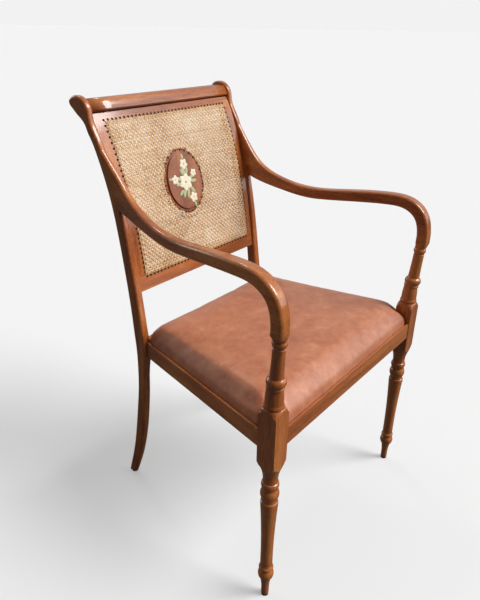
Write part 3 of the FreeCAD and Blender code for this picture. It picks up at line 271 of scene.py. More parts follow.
# Materials
def mahogany(name, grain, tone=("7d3c16", "b5642c", "d68a48"), gloss=0.9):
    # French-polished mahogany: fine straight figure, small dark pores and a deep clear gloss
    wood = {"figure": 26 * mm, "streak": 1.6 * mm, "pore": 0.45 * mm, "stretch": 16}
    material, tree = newMaterial(name)
    coords = addNode(tree, "ShaderNodeTexCoord")
    along = [1 / wood["stretch"] if axis == grain else 1 for axis in "xyz"]
    laid = addNode(tree, "ShaderNodeMapping", inputs={"Vector": coords.outputs["Object"], "Scale": along})
    figure = addNode(tree, "ShaderNodeTexNoise", inputs={
        "Vector": laid.outputs[0], "Scale": 1 / wood["figure"], "Detail": 4,
        "Roughness": 0.55, "Distortion": 0.4})
    streak = addNode(tree, "ShaderNodeTexNoise", inputs={
        "Vector": laid.outputs[0], "Scale": 1 / wood["streak"], "Detail": 3, "Roughness": 0.6})
    pore = addNode(tree, "ShaderNodeTexNoise", inputs={
        "Vector": laid.outputs[0], "Scale": 1 / wood["pore"], "Detail": 1})
    both = addNode(tree, "ShaderNodeMix", inputs={
        "Factor": 0.42, "A": figure.outputs["Fac"], "B": streak.outputs["Fac"]})
    tint = addNode(tree, "ShaderNodeValToRGB", inputs={"Fac": both.outputs["Result"]},
                   stops=[(0.32, tone[0]), (0.5, tone[1]), (0.68, tone[2])])
    dark = addNode(tree, "ShaderNodeValToRGB", inputs={"Fac": pore.outputs["Fac"]},
                   stops=[(0.34, "6e6e6e"), (0.46, "ffffff")])
    body = addNode(tree, "ShaderNodeMix", {"data_type": "RGBA", "blend_type": "MULTIPLY"}, {
        "Factor": 0.4, 6: tint.outputs["Color"], 7: dark.outputs["Color"]})  # 6 and 7: the colours A and B
    rough = addNode(tree, "ShaderNodeMapRange", inputs={
        "Value": streak.outputs["Fac"], "To Min": 0.26, "To Max": 0.42})
    relief = addNode(tree, "ShaderNodeBump", inputs={
        "Strength": 0.12, "Distance": 0.3 * mm, "Height": streak.outputs["Fac"]})
    shader = addNode(tree, "ShaderNodeBsdfPrincipled", inputs={
        "Base Color": body.outputs[2], "Roughness": rough.outputs["Result"], "IOR": 1.42,
        "Coat Weight": gloss, "Coat Roughness": 0.1, "Coat IOR": 1.52, "Normal": relief.outputs["Normal"]})
    addNode(tree, "ShaderNodeOutputMaterial", inputs={"Surface": shader.outputs[0]})
    return material


def plainBeech(name):
    # raw planed beech: pale, matt, with short brown flecks; only seen from below
    wood = {"fleck": 2.4 * mm, "laid": (0.12, 0.12, 1)}
    material, tree = newMaterial(name)
    coords = addNode(tree, "ShaderNodeTexCoord")
    laid = addNode(tree, "ShaderNodeMapping", inputs={
        "Vector": coords.outputs["Object"], "Scale": wood["laid"]})
    grain = addNode(tree, "ShaderNodeTexNoise", inputs={
        "Vector": laid.outputs[0], "Scale": 1 / wood["fleck"], "Detail": 4, "Roughness": 0.6})
    tint = addNode(tree, "ShaderNodeValToRGB", inputs={"Fac": grain.outputs["Fac"]},
                   stops=[(0.35, "9c7448"), (0.5, "b98f60"), (0.65, "caa477")])
    relief = addNode(tree, "ShaderNodeBump", inputs={
        "Strength": 0.25, "Distance": 0.4 * mm, "Height": grain.outputs["Fac"]})
    shader = addNode(tree, "ShaderNodeBsdfPrincipled", inputs={
        "Base Color": tint.outputs["Color"], "Roughness": 0.62, "Normal": relief.outputs["Normal"]})
    addNode(tree, "ShaderNodeOutputMaterial", inputs={"Surface": shader.outputs[0]})
    return material


def splitRattan(name, along):
    # split rattan bark: straw strips with a waxy face, each strip its own shade, fine fibres lengthwise
    strip = {"shade": 5 * mm, "fibre": 0.35 * mm, "cloud": 60 * mm}
    material, tree = newMaterial(name)
    coords = addNode(tree, "ShaderNodeTexCoord")
    laid = addNode(tree, "ShaderNodeMapping", inputs={"Vector": coords.outputs["Object"], "Scale": along})
    shade = addNode(tree, "ShaderNodeTexNoise", inputs={
        "Vector": laid.outputs[0], "Scale": 1 / strip["shade"], "Detail": 2, "Roughness": 0.7})
    fibre = addNode(tree, "ShaderNodeTexNoise", inputs={
        "Vector": laid.outputs[0], "Scale": 1 / strip["fibre"], "Detail": 1})
    cloud = addNode(tree, "ShaderNodeTexNoise", inputs={
        "Vector": coords.outputs["Object"], "Scale": 1 / strip["cloud"], "Detail": 1})
    both = addNode(tree, "ShaderNodeMix", inputs={
        "Factor": 0.3, "A": shade.outputs["Fac"], "B": cloud.outputs["Fac"]})
    tint = addNode(tree, "ShaderNodeValToRGB", inputs={"Fac": both.outputs["Result"]},
                   stops=[(0.34, "b08252"), (0.46, "d3a878"), (0.57, "e6c39a"), (0.7, "f6e2c2")])
    relief = addNode(tree, "ShaderNodeBump", inputs={
        "Strength": 0.3, "Distance": 0.15 * mm, "Height": fibre.outputs["Fac"]})
    shader = addNode(tree, "ShaderNodeBsdfPrincipled", inputs={
        "Base Color": tint.outputs["Color"], "Roughness": 0.4, "IOR": 1.5,
        "Normal": relief.outputs["Normal"]})
    addNode(tree, "ShaderNodeOutputMaterial", inputs={"Surface": shader.outputs[0]})
    return material


def anilineCowhide(name):
    # aniline-finished cowhide, cognac brown: cloudy mottling, a fine pebble and a waxy face
    hide = {"cloud": 70 * mm, "blotch": 18 * mm, "pebble": 1.6 * mm}
    material, tree = newMaterial(name)
    coords = addNode(tree, "ShaderNodeTexCoord")
    cloud = addNode(tree, "ShaderNodeTexNoise", inputs={
        "Vector": coords.outputs["Object"], "Scale": 1 / hide["cloud"], "Detail": 4,
        "Roughness": 0.6, "Distortion": 0.6})
    blotch = addNode(tree, "ShaderNodeTexNoise", inputs={
        "Vector": coords.outputs["Object"], "Scale": 1 / hide["blotch"], "Detail": 4,
        "Roughness": 0.65, "Distortion": 0.3})
    pebble = addNode(tree, "ShaderNodeTexVoronoi", {"feature": "SMOOTH_F1"}, {
        "Vector": coords.outputs["Object"], "Scale": 1 / hide["pebble"], "Randomness": 1})
    both = addNode(tree, "ShaderNodeMix", inputs={
        "Factor": 0.5, "A": cloud.outputs["Fac"], "B": blotch.outputs["Fac"]})
    tint = addNode(tree, "ShaderNodeValToRGB", inputs={"Fac": both.outputs["Result"]},
                   stops=[(0.3, "9c5632"), (0.45, "b26946"), (0.57, "be7753"), (0.72, "d3946d")])
    rough = addNode(tree, "ShaderNodeMapRange", inputs={
        "Value": blotch.outputs["Fac"], "To Min": 0.36, "To Max": 0.52})
    relief = addNode(tree, "ShaderNodeBump", inputs={
        "Strength": 0.25, "Distance": 0.25 * mm, "Height": pebble.outputs["Distance"]})
    shader = addNode(tree, "ShaderNodeBsdfPrincipled", inputs={
        "Base Color": tint.outputs["Color"], "Roughness": rough.outputs["Result"], "IOR": 1.48,
        "Coat Weight": 0.3, "Coat Roughness": 0.36, "Sheen Weight": 0.25, "Sheen Roughness": 0.45,
        "Sheen Tint": colour("ffe3da"), "Normal": relief.outputs["Normal"]})
    addNode(tree, "ShaderNodeOutputMaterial", inputs={"Surface": shader.outputs[0]})
    return material


def plainFinish(name, low, high, grit, rough, metal=0.0, bump=0.15):
    # one surface with a fine mottle of its own grit
    material, tree = newMaterial(name)
    coords = addNode(tree, "ShaderNodeTexCoord")
    mottle = addNode(tree, "ShaderNodeTexNoise", inputs={
        "Vector": coords.outputs["Object"], "Scale": 1 / grit, "Detail": 4, "Roughness": 0.6})
    tint = addNode(tree, "ShaderNodeValToRGB", inputs={"Fac": mottle.outputs["Fac"]},
                   stops=[(0.35, low), (0.65, high)])
    relief = addNode(tree, "ShaderNodeBump", inputs={
        "Strength": bump, "Distance": 0.2 * mm, "Height": mottle.outputs["Fac"]})
    shader = addNode(tree, "ShaderNodeBsdfPrincipled", inputs={
        "Base Color": tint.outputs["Color"], "Roughness": rough, "Metallic": metal,
        "Normal": relief.outputs["Normal"]})
    addNode(tree, "ShaderNodeOutputMaterial", inputs={"Surface": shader.outputs[0]})
    return material


woodAcross = mahogany("french polished mahogany across", "x")
woodDeep = mahogany("french polished mahogany fore and aft", "y")
woodTall = mahogany("french polished mahogany upright", "z")
woodOval = mahogany("stained mahogany oval", "z", ("6a3014", "9d562c", "bd7740"), gloss=0.25)
beech = plainBeech("planed beech")
leather = anilineCowhide("aniline cowhide")
webCloth = plainFinish("jute webbing", "6b5335", "a1835a", 1.2 * mm, 0.85, bump=0.6)
dustCloth = plainFinish("black bottoming cloth", "161513", "2a2825", 1.0 * mm, 0.9, bump=0.5)
screwSteel = plainFinish("zinc plated steel", "9a9c9e", "c2c4c6", 0.8 * mm, 0.32, metal=1.0)
footDark = plainFinish("moulded nylon glide", "0f0c0a", "1d1814", 0.9 * mm, 0.45)
# painted shade: a near-black finish for flat discs that stand in for the shade inside the drilled cane holes
holeShadePaint = plainFinish("painted hole shade", "1c0f08", "2c1a10", 0.7 * mm, 0.9)
creamPaint = plainFinish("cream enamel", "e8dfc0", "f6efd8", 3 * mm, 0.35)
greenPaint = plainFinish("pale green enamel", "9fae7a", "c3cf9f", 3 * mm, 0.35)
ochrePaint = plainFinish("ochre enamel", "b58a34", "d8b25c", 2 * mm, 0.35)

nodeFinish = {
    woodAcross: ["crest_rail", "back_lower_rail", "back_upper_rail", "seat_rail_front", "seat_rail_back"],
    woodDeep: ["arm_left", "arm_right", "seat_rail_left", "seat_rail_right"],
    woodTall: ["post_left", "post_right", "leg_front_left", "leg_front_right", "arm_support_left",
               "arm_support_right", "back_stile_left", "back_stile_right", "arm_plugs"],
    woodOval: ["medallion_field", "medallion_rim"],
    beech: ["back_dowels", "support_dowels", "seat_frame_dowels", "corner_block_front_left",
            "corner_block_front_right", "corner_block_rear_left", "corner_block_rear_right",
            "seat_frame_back", "seat_frame_front", "seat_frame_left", "seat_frame_right"],
    webCloth: ["seat_webbing_cross", "seat_webbing_long"],
    dustCloth: ["seat_dust_cloth"],
    screwSteel: ["arm_screws", "corner_screws", "seat_tacks"],
    footDark: ["foot_glides"],
    leather: ["seat_cover", "seat_foam"],
}
for material, names in nodeFinish.items():
    for name in names:
        nodes[name].data.materials.clear()
        nodes[name].data.materials.append(material)
print("materials: on the turned and joined wood")

# Eased edges: the planed rails and the legs' squares
easedEdge = {"width": 1.3 * mm, "steps": 3, "railFrom": 38, "legFrom": 42, "weld": 0.01 * mm}


def easeEdges(piece, fromAngle):
    ease = piece.modifiers.new("eased edge", "BEVEL")
    ease.width = easedEdge["width"]
    ease.segments = easedEdge["steps"]
    ease.angle_limit = math.radians(fromAngle)
    return ease


for name in ("seat_rail_front", "seat_rail_back", "seat_rail_left", "seat_rail_right"):
    weld = nodes[name].modifiers.new("weld", "WELD")
    weld.merge_threshold = easedEdge["weld"]
    easeEdges(nodes[name], easedEdge["railFrom"]).harden_normals = True

# Back: the curve of its front face, from the lower rail up, in metres and then in mm
backCurve = {"from": 0.530, "span": 0.300, "depth": 135.6, "lean": 41.7, "bow": 15.6, "scroll": 30.2}

# Caning: six-way weave, strand by strand
caning = {
    "lowRow": 526 * mm, "highRow": 823 * mm, "pitch": 10 * mm, "rows": 30, "columns": 17, "slants": 36,
    "pairGap": 2.3 * mm, "width": 2.6 * mm, "diagonalWidth": 2.4 * mm, "thick": 0.42 * mm, "arch": 0.1 * mm,
    "step": 2.5 * mm, "shortest": 4 * mm, "fewestSteps": 3, "slantOver": 2 * mm, "slantWave": 0.6,
    "sameRow": 0.1 * mm, "leanStep": 1 * mm,
    "holeSpread": 163.9 * mm, "holeFlare": 7.6 * mm, "dip": 3.0 * mm, "dipReach": 1.2 * mm, "tuck": 1.0 * mm,
    "narrowReach": 8 * mm, "narrowPair": 0.3, "narrowWidth": 0.75, "hollow": 9 * mm, "lift": 0.8 * mm,
    "fieldLow": 534 * mm, "fieldHigh": 815 * mm, "fieldSpread": 155.9 * mm,
    "plateReach": 1.16, "plateRun": 0.13,  # shares of the rim plate's oval over which the weave rises to it
}
oval = {
    "x": -8 * mm, "z": 685.5 * mm, "tilt": math.radians(15.6), "proud": 1.9 * mm,
    "ringWidth": 109 * mm, "ringLength": 131 * mm, "rimWidth": 118 * mm, "rimLength": 140 * mm,
    "fieldThick": 3.5 * mm, "holes": 26,
}


def backFace(z):  # depth of the back's front face, the curve that the posts follow
    rise = (z - backCurve["from"]) / backCurve["span"]
    leaning = backCurve["depth"] + backCurve["lean"] * rise
    return (leaning + backCurve["bow"] * rise**2 + backCurve["scroll"] * rise**3) * mm


def faceLean(z):  # how the back's face leans away per metre of height
    step = caning["leanStep"]
    return (backFace(z + step) - backFace(z - step)) / (2 * step)


def sheetDepth(x, z):  # the stretched sheet lies behind the curved frame at its middle
    part = limited((z - caning["fieldLow"]) / (caning["fieldHigh"] - caning["fieldLow"]))
    across = max(0, 1 - (x / caning["fieldSpread"]) ** 2)
    return backFace(z) + caning["hollow"] * across * math.sin(math.pi * part)


oval["y"] = sheetDepth(0, oval["z"]) - oval["proud"]


def rimShare(x, z):  # 1 on the rim plate's edge, less inside it
    across = (x - oval["x"]) / (oval["rimWidth"] / 2)
    return math.hypot(across, (z - oval["z"]) / (oval["rimLength"] / 2 * math.cos(oval["tilt"])))


def strandDepth(x, z):  # the weave's middle: on the sheet, and over the rim plate near the oval
    free = sheetDepth(x, z) - caning["lift"]
    plate = oval["y"] + (z - oval["z"]) * math.tan(oval["tilt"]) - caning["lift"]
    blend = eased(limited((caning["plateReach"] - rimShare(x, z)) / caning["plateRun"]))
    return free + (plate - free) * blend


def rowSpread(z):  # from the middle to the hole at the end of a row
    return caning["holeSpread"] + caning["holeFlare"] * (z - backCurve["from"]) / backCurve["span"]


def freeSpans(start, end):  # the run from start to end, cut where it meets the oval ring
    run = end - start
    wide = oval["ringWidth"] / 2
    tall = oval["ringLength"] / 2 * math.cos(oval["tilt"])
    p = Vector(((start.x - oval["x"]) / wide, (start.y - oval["z"]) / tall))
    d = Vector((run.x / wide, run.y / tall))
    half = p.dot(d) / d.dot(d)
    gap = half * half - (p.dot(p) - 1) / d.dot(d)
    if gap <= 0 or not 0 < -half < 1:
        return [(start, end)]
    reach = math.sqrt(gap)
    return [(start, start + run * (-half - reach)), (start + run * (-half + reach), end)]


def layStrand(start, end, width, waveOf, shift=0.0, startHole=None, endHole=None):
    # start and end: (x, z) on the weave's own lattice; shift: sideways place in its pair
    run = end - start
    if run.length < caning["shortest"]:
        return None
    forward = run.normalized()
    side = Vector((-forward.y, forward.x))
    count = max(4, round(run.length / caning["step"]))
    bpy.ops.mesh.primitive_grid_add(x_subdivisions=count, y_subdivisions=2, size=1)
    strand = bpy.context.object
    for vertex in strand.data.vertices:
        along = (vertex.co.x + 0.5) * run.length
        across = vertex.co.y * 2
        toEnd = min(along, run.length - along)
        full = eased(min(toEnd / caning["narrowReach"], 1))  # 0 in the hole, 1 out in the weave
        nearStart = along < run.length / 2
        hole = startHole if nearStart else endHole
        apart = caning["narrowPair"] + (1 - caning["narrowPair"]) * full
        centre = start + forward * along + side * shift * apart
        if hole is not None:
            centre += (hole - (start if nearStart else end)) * (1 - full)
        dip = caning["dip"] * max(0, 1 - toEnd / caning["dipReach"])
        centre += forward * caning["tuck"] * (1 - full) * (1 if nearStart else -1)
        broad = caning["narrowWidth"] + (1 - caning["narrowWidth"]) * full
        flat = centre + side * across * width / 2 * broad
        lift = waveOf(start + forward * along) * full
        arch = caning["arch"] * (1 - across * across)
        vertex.co = (flat.x, strandDepth(flat.x, flat.y) - lift - arch + dip, flat.y)
    return strand


rowPitch = (caning["highRow"] - caning["lowRow"]) / caning["rows"]
wave = caning["thick"]


def turnOf(x):  # the weave's wave across, one turn for each column
    return 2 * math.pi * x / caning["pitch"]


def riseOf(z):  # and upwards, one turn for each row
    return 2 * math.pi * (z - caning["lowRow"]) / rowPitch


def weave(name, runs, material):
    strands = []
    for start, end, width, waveOf, shift, startHole, endHole in runs:
        spans = freeSpans(start, end)
        for place, (low, high) in enumerate(spans):
            first = startHole if place == 0 else None
            last = endHole if place == len(spans) - 1 else None
            strand = layStrand(low, high, width, waveOf, shift, first, last)
            if strand:
                strands.append(strand)
    woven = joinPieces(strands, name)
    solid = woven.modifiers.new("strip thickness", "SOLIDIFY")
    solid.thickness = caning["thick"]
    solid.offset = 0
    applyModifiers(woven)
    smoothFaces(woven)
    finishPiece(woven, material, "frame")
    print("caning:", name, len(strands), "strands,", len(woven.data.polygons), "faces")
    return woven


deselectAll()
columns = range(-caning["columns"], caning["columns"] + 1)
uprightRuns = []
for place in columns:
    x = place * caning["pitch"]
    if abs(x) > rowSpread(caning["lowRow"]):
        continue
    for sign in (-1, 1):
        uprightRuns.append((
            Vector((x, caning["lowRow"])), Vector((x, caning["highRow"])), caning["width"],
            lambda at, s=sign: wave * s * math.sin(riseOf(at.y)), sign * caning["pairGap"], None, None))
uprightCane = weave("caneUprights", uprightRuns, splitRattan("split rattan upright", (1, 1, 0.03)))

levelRuns = []
for place in range(1, caning["rows"]):
    z = caning["lowRow"] + place * rowPitch
    for sign in (-1, 1):
        levelRuns.append((
            Vector((-rowSpread(z), z)), Vector((rowSpread(z), z)), caning["width"],
            lambda at, s=sign: wave * s * math.sin(turnOf(at.x)), sign * caning["pairGap"], None, None))
weave("caneLevels", levelRuns, splitRattan("split rattan level", (0.03, 1, 1)))


def nearestHole(at):
    fromRow = min(abs(at.y - caning["lowRow"]), abs(at.y - caning["highRow"]))
    if fromRow < caning["sameRow"]:
        return Vector((round(at.x / caning["pitch"]) * caning["pitch"], at.y))
    row = min(max(round((at.y - caning["lowRow"]) / rowPitch), 1), caning["rows"] - 1)
    z = caning["lowRow"] + row * rowPitch
    return Vector((math.copysign(rowSpread(z), at.x), z))


def slantRuns(sign):
    slope = rowPitch / caning["pitch"]
    runs = []
    for place in range(-caning["slants"], caning["slants"] + 1):
        ends = []
        for step in range(0, 2 * caning["rows"] + 1):  # walks up by half rows, from the low row to the high
            z = caning["lowRow"] + step * rowPitch / 2
            x = place * caning["pitch"] + sign * (z - caning["lowRow"]) / slope
            x -= sign * caning["rows"] / 2 * caning["pitch"]
            if abs(x) <= rowSpread(z) + caning["slantOver"]:
                ends.append(Vector((x, z)))
        if len(ends) > caning["fewestSteps"]:
            runs.append((
                ends[0], ends[-1], caning["diagonalWidth"],
                lambda at, s=sign: wave * caning["slantWave"] * s * math.cos(turnOf(at.x)), 0,
                nearestHole(ends[0]), nearestHole(ends[-1])))
    return runs


weave("caneRising", slantRuns(1), splitRattan("split rattan rising", (0.4, 1, 0.4)))
weave("caneFalling", slantRuns(-1), splitRattan("split rattan falling", (0.4, 1, 0.4)))
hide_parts("cane_panel")

# Painted hole shade: flat near-black discs of painted shade where the strands go into the frame and into the
# oval's rim
caneHole = {
    "radius": 2.5 * mm, "ovalRadius": 2.2 * mm, "sides": 14, "proud": 0.3 * mm,
    "ovalWidth": 107.5 * mm, "ovalLength": 129.5 * mm,
}


def paintedHoleShade(centre, leanBack, radius):  # the shaded mouth of a drilled hole as a flat dark disc of painted shade, flat on its wood
    bpy.ops.mesh.primitive_circle_add(vertices=caneHole["sides"], radius=radius, fill_type="NGON")
    shadeDisc = bpy.context.object
    up = Vector((0, leanBack, 1)).normalized()
    for vertex in shadeDisc.data.vertices:
        vertex.co = centre + Vector((vertex.co.x, 0, 0)) + up * vertex.co.y
    return shadeDisc


def frameHoleShade(x, z):
    return paintedHoleShade(Vector((x, backFace(z) - caneHole["proud"], z)), faceLean(z), caneHole["radius"])


deselectAll()
shadeDiscs = []
for row in range(1, caning["rows"]):
    z = caning["lowRow"] + row * rowPitch
    for sign in (-1, 1):
        shadeDiscs.append(frameHoleShade(sign * rowSpread(z), z))
for z in (caning["lowRow"], caning["highRow"]):
    for place in columns:
        if abs(place * caning["pitch"]) <= rowSpread(z):
            shadeDiscs.append(frameHoleShade(place * caning["pitch"], z))
finishPiece(joinPieces(shadeDiscs, "caneHolePaintedShade"), holeShadePaint, "frame")

tiltUp = Vector((0, math.sin(oval["tilt"]), math.cos(oval["tilt"])))
tiltOut = Vector((0, -math.cos(oval["tilt"]), math.sin(oval["tilt"])))
ovalCentre = Vector((oval["x"], oval["y"], oval["z"]))


def onOval(u, v, out):  # u to the right, v up the plate, out towards the sitter
    return ovalCentre + Vector((u, 0, 0)) + tiltUp * v + tiltOut * out


deselectAll()
shadeDiscs = []
for place in range(oval["holes"]):
    turn = 2 * math.pi * place / oval["holes"]
    across = math.cos(turn) * caneHole["ovalWidth"] / 2
    centre = onOval(across, math.sin(turn) * caneHole["ovalLength"] / 2, caneHole["proud"])
    shadeDiscs.append(paintedHoleShade(centre, math.tan(oval["tilt"]), caneHole["ovalRadius"]))
finishPiece(joinPieces(shadeDiscs, "ovalHolePaintedShade"), holeShadePaint, "frame")

# Painted spray: brush strokes laid on the oval's field, in mm from its middle
spray = {
    "spread": 1.28, "bold": 1.6, "petalLift": 0.5 * mm, "leafLift": 0.4 * mm, "eyeLift": 0.4 * mm,
    "eyeFlat": 0.35, "petalGap": 0.12,
    "start": 0.06, "run": 0.92, "fullness": 0.7, "edgeFall": 0.85, "domeEase": 0.5,  # one stroke's form
}
sprayBlossoms = [  # right, up, petals, petal length, petal width, turn in radians, radius of the eye
    (1, -2, 6, 13, 8.5, 0.3, 2.6), (4, 27, 5, 8, 5.5, 0.9, 1.7), (-21, 5, 5, 7, 5, 0.2, 1.5),
    (12, -29, 5, 8, 5.5, 0.5, 1.7), (22, 10, 5, 6, 4.5, 0.7, 1.3),
]
sprayLeaves = [  # right, up, turn in degrees, length, width, bend
    (2, 9, 100, 15, 4.5, 2), (0, 10, 130, 12, 4, -2), (5, 10, 62, 13, 4, 2), (-8, -4, 172, 13, 4.5, 2),
    (-7, 1, 150, 13, 4, -2), (9, -10, 300, 15, 4.5, 2), (4, -12, 262, 17, 4.5, -2),
    (-2, -12, 238, 16, 4.5, 2), (11, 2, 30, 12, 4, -2), (12, -2, 350, 14, 4.5, 2), (4, 34, 88, 10, 3.5, 1),
    (12, -36, 285, 10, 3.5, -1), (-8, -14, 215, 12, 4, 1), (-27, 7, 170, 8, 3, 1),
]


def brushStroke(u, v, turn, length, width, lift, bend=0.0):  # a low dome, pointed at its tip
    u, v, length = (size * spray["spread"] for size in (u, v, length))
    width *= spray["bold"]
    bpy.ops.mesh.primitive_grid_add(x_subdivisions=8, y_subdivisions=4, size=1)
    stroke = bpy.context.object
    forward = Vector((math.cos(turn), math.sin(turn)))
    side = Vector((-forward.y, forward.x))
    for vertex in stroke.data.vertices:
        along = vertex.co.x + 0.5
        across = vertex.co.y * 2
        outline = math.sin(math.pi * min(along * spray["run"] + spray["start"], 1))
        half = width / 2 * outline ** spray["fullness"]
        place = forward * along * length + side * (across * half + bend * along * along)
        hump = math.sin(math.pi * min(max(along, spray["start"]), 1 - spray["start"]))
        dome = lift * (1 - across * across * spray["edgeFall"]) * hump ** spray["domeEase"]
        vertex.co = onOval(u + place.x, v + place.y, oval["fieldThick"] + dome)
    return stroke


deselectAll()
strokes = []
for u, v, count, length, width, firstTurn, radius in sprayBlossoms:
    for step in range(count):
        turn = firstTurn + 2 * math.pi * step / count
        gap = length * spray["petalGap"]
        strokes.append(brushStroke((u + math.cos(turn) * gap) * mm, (v + math.sin(turn) * gap) * mm, turn,
                                   length * mm, width * mm, spray["petalLift"]))
blossoms = joinPieces(strokes, "ovalBlossoms")
finishPiece(blossoms, creamPaint, "frame")
deselectAll()
strokes = []
for u, v, turn, length, width, bend in sprayLeaves:
    strokes.append(brushStroke(u * mm, v * mm, math.radians(turn), length * mm, width * mm,
                               spray["leafLift"], bend * mm))
leaves = joinPieces(strokes, "ovalLeaves")
finishPiece(leaves, greenPaint, "frame")
deselectAll()
eyes = []
for u, v, count, length, width, firstTurn, radius in sprayBlossoms:
    bpy.ops.mesh.primitive_uv_sphere_add(segments=16, ring_count=8, radius=radius * mm)
    eye = bpy.context.object
    middleU, middleV = u * mm * spray["spread"], v * mm * spray["spread"]
    for vertex in eye.data.vertices:
        out = oval["fieldThick"] + spray["eyeLift"] + vertex.co.z * spray["eyeFlat"]
        vertex.co = onOval(middleU + vertex.co.x, middleV + vertex.co.y, out)
    eyes.append(eye)
centres = joinPieces(eyes, "ovalBlossomEyes")
finishPiece(centres, ochrePaint, "frame")
for piece in (blossoms, leaves, centres):
    smoothFaces(piece)
print("oval: holes and painted spray")

# Crest: a rounded rail with a shadow line under it
crestRoll = {"halfLength": 191.5, "levels": 3}
crestSection = [  # depth and height of the roll, in mm, round from its lower front edge
    (228.5, 835.2), (224.0, 837.0), (222.8, 841.5), (224.4, 847.0), (228.2, 853.0), (233.4, 858.0),
    (240.0, 860.6), (248.0, 861.2), (255.0, 859.6), (258.2, 855.0), (256.6, 847.5), (252.6, 839.5),
    (248.0, 835.2), (238.0, 835.1),
]
deselectAll()
bpy.ops.mesh.primitive_cylinder_add(vertices=len(crestSection), radius=1, depth=2, end_fill_type="NOTHING")
crest = bpy.context.object
crest.name = "crestRoll"
for vertex in crest.data.vertices:
    turn = math.atan2(vertex.co.y, vertex.co.x) / (2 * math.pi)
    depth, height = crestSection[round(turn * len(crestSection)) % len(crestSection)]
    vertex.co = Vector((vertex.co.z * crestRoll["halfLength"], depth, height)) * mm
subdivideSmooth(crest, crestRoll["levels"])
closeShell()
smoothFaces(crest)
finishPiece(crest, woodAcross, "frame")
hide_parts("crest_rail")
print("crest: rounded rail")

# Front legs: the square's top corners turned down to a shoulder
shoulder = {
    "axis": 252.05 * mm, "top": 441 * mm, "from": 420 * mm, "flat": 17.6 * mm, "corner": 24.6 * mm,
    "fall": 11 * mm, "swell": 1.4, "cuts": 2, "smoothUnder": 35,
}
supportFoot = {"sides": 48, "axis": 252.05, "base": 441, "lean": 0.0217, "weld": 0.02 * mm}
footProfile = [  # height and radius of the turned foot that stands on the square, in mm
    (441.0, 12), (441.2, 16.6), (442.4, 17.6), (445.0, 17.7), (447.4, 16.9), (448.6, 15.9), (456, 16.2),
    (466, 15.6), (474, 14.6), (478, 14.1), (480.5, 14.9), (483, 15.1), (485.5, 14.2), (487, 12),
]


def shoulderedLeg(name, newName, side):
    leg = mergedCopy([name], newName)
    bpy.ops.object.mode_set(mode="EDIT")
    bpy.ops.mesh.select_all(action="SELECT")
    bpy.ops.mesh.customdata_custom_splitnormals_clear()
    bpy.ops.mesh.bisect(plane_co=(0, 0, shoulder["from"]), plane_no=(0, 0, 1))
    bpy.ops.mesh.select_all(action="SELECT")
    bpy.ops.mesh.tris_convert_to_quads()
    bpy.ops.mesh.quads_convert_to_tris()  # the long faces, cut again at their better diagonals
    for cut in range(shoulder["cuts"]):
        bpy.ops.mesh.subdivide(number_cuts=1)
    bpy.ops.object.mode_set(mode="OBJECT")
    span = shoulder["top"] - shoulder["from"]
    for vertex in leg.data.vertices:
        if vertex.co.z < shoulder["from"]:
            continue
        reach = math.hypot(vertex.co.x - side * shoulder["axis"], vertex.co.y + shoulder["axis"])
        outward = limited((reach - shoulder["flat"]) / (shoulder["corner"] - shoulder["flat"]))
        fall = shoulder["fall"] * outward ** shoulder["swell"]
        vertex.co.z = shoulder["from"] + (vertex.co.z - shoulder["from"]) * (span - fall) / span
    easeEdges(leg, easedEdge["legFrom"])
    applyModifiers(leg)
    bpy.ops.object.shade_smooth_by_angle(angle=math.radians(shoulder["smoothUnder"]))
    finishPiece(leg, woodTall, "frame")
    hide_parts(name)


def turnedFoot(newName, side):
    deselectAll()
    steps = len(footProfile) - 1
    bpy.ops.mesh.primitive_grid_add(x_subdivisions=supportFoot["sides"], y_subdivisions=steps, size=1)
    foot = bpy.context.object
    foot.name = newName
    for vertex in foot.data.vertices:
        turn = 2 * math.pi * (vertex.co.x + 0.5)
        z, radius = footProfile[round((vertex.co.y + 0.5) * steps)]
        out = supportFoot["axis"] + (z - supportFoot["base"]) * supportFoot["lean"]
        vertex.co = Vector((side * out + radius * math.cos(turn), -out + radius * math.sin(turn), z)) * mm
    closeShell(supportFoot["weld"])
    subdivideSmooth(foot, 1)
    smoothFaces(foot)
    finishPiece(foot, woodTall, "frame")


for sideName, side in (("Left", -1), ("Right", 1)):
    shoulderedLeg("leg_front_" + sideName.lower(), "frontLeg" + sideName, side)
    turnedFoot("supportFoot" + sideName, side)
print("legs: turned shoulders and support feet")

# Arm ends: the arm's squarish end carved down into the turned support
armEnd = {"sides": 40, "weld": 0.02 * mm}
armEndProfile = [  # height, middle x and y, half widths, squareness, in mm, from inside the arm downwards
    (590, 258.7, -260.9, 12.4, 11.8, 3.2), (585, 258.75, -260.85, 13.0, 12.1, 3.2),
    (579, 258.7, -260.8, 13.35, 12.6, 3.0), (575, 258.3, -260.6, 13.1, 12.4, 2.8),
    (571, 257.0, -260.0, 12.2, 12.0, 2.3), (567.5, 256.0, -259.4, 11.6, 11.7, 2.0),
    (565.5, 255.7, -259.2, 10.6, 10.6, 2.0),
]
for sideName, side in (("Left", -1), ("Right", 1)):
    deselectAll()
    steps = len(armEndProfile) - 1
    bpy.ops.mesh.primitive_grid_add(x_subdivisions=armEnd["sides"], y_subdivisions=steps, size=1)
    collar = bpy.context.object
    collar.name = "armEnd" + sideName
    for vertex in collar.data.vertices:
        turn = 2 * math.pi * (vertex.co.x + 0.5)
        z, x, y, halfX, halfY, power = armEndProfile[round((0.5 - vertex.co.y) * steps)]
        c, s = math.cos(turn), math.sin(turn)
        out = (abs(c) ** power + abs(s) ** power) ** (-1 / power)
        vertex.co = Vector((side * (x + halfX * out * c), y + halfY * out * s, z)) * mm
    closeShell(armEnd["weld"])
    subdivideSmooth(collar, 1)
    smoothFaces(collar)
    finishPiece(collar, woodTall, "frame")
print("arms: carved ends")

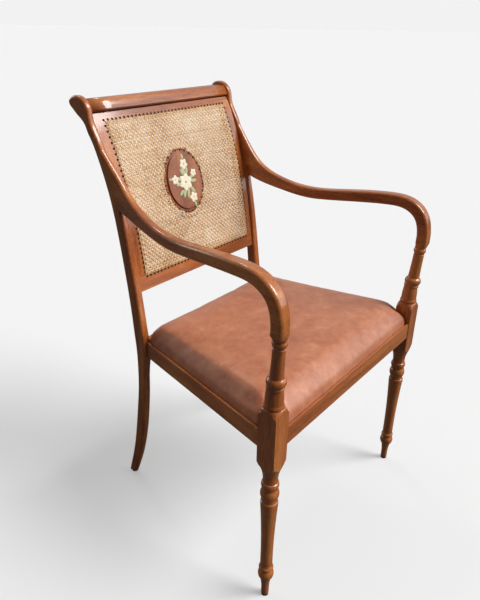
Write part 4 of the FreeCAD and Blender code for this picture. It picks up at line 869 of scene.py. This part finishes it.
# Seat pad: leather drawn over foam, puffed by a short cloth run
seat = {
    "voxel": 5 * mm, "pressure": 4, "quality": 6, "frames": 20, "cap": 4 * mm,
    "rest": 398 * mm, "rise": 24 * mm, "under": 381.3 * mm,  # heights: the pad moves only above its rest
    "rollReach": 46 * mm, "rollDrop": 0.34, "sideShare": 1.9, "smoothings": 3, "smoothFactor": 0.5,
    "front": 263.2 * mm, "rear": 110.1 * mm, "wideFront": 260.8 * mm, "wideRear": 193 * mm,
}


def fromEdge(place):  # how far a point of the pad is from the seat's outline, seen from above
    share = (place.y + seat["front"]) / (seat["front"] + seat["rear"])
    beside = seat["wideFront"] + (seat["wideRear"] - seat["wideFront"]) * share - abs(place.x)
    behind = seat["rear"] - place.y
    return max(0, min(beside * seat["sideShare"], place.y + seat["front"], behind * seat["sideShare"]))


pad = mergedCopy(["seat_cover", "seat_foam", "seat_frame_front", "seat_frame_back", "seat_frame_left",
                  "seat_frame_right"], "seatPad")
remesh = pad.modifiers.new("even mesh", "REMESH")
remesh.mode = "VOXEL"
remesh.voxel_size = seat["voxel"]
applyModifiers(pad)
rest = [vertex.co.copy() for vertex in pad.data.vertices]
cloth = pad.modifiers.new("leather", "CLOTH")
cloth.settings.use_pressure = True
cloth.settings.uniform_pressure_force = seat["pressure"]
cloth.settings.effector_weights.gravity = 0
cloth.settings.quality = seat["quality"]
cloth.point_cache.frame_start = 1
cloth.point_cache.frame_end = seat["frames"]
for step in range(1, seat["frames"] + 1):
    bpy.context.scene.frame_set(step)
applyModifiers(pad)
bpy.context.scene.frame_set(1)
for vertex, place in zip(pad.data.vertices, rest):
    move = vertex.co - place
    cap = seat["cap"] * limited((place.z - seat["rest"]) / seat["rise"])
    if move.length > cap:
        move = move.normalized() * cap
    vertex.co = place + move
for vertex in pad.data.vertices:
    roll = eased(1 - min(fromEdge(vertex.co) / seat["rollReach"], 1))
    if vertex.co.z > seat["rest"]:
        vertex.co.z = seat["rest"] + (vertex.co.z - seat["rest"]) * (1 - seat["rollDrop"] * roll)
    vertex.co.z = max(vertex.co.z, seat["under"])
smoothing = pad.modifiers.new("smooth", "SMOOTH")
smoothing.iterations = seat["smoothings"]
smoothing.factor = seat["smoothFactor"]
subdivideSmooth(pad, 1)
smoothFaces(pad)
finishPiece(pad, leather, "seat")
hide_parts("seat_cover", "seat_foam")
print("seat: pad", len(pad.data.polygons), "faces")
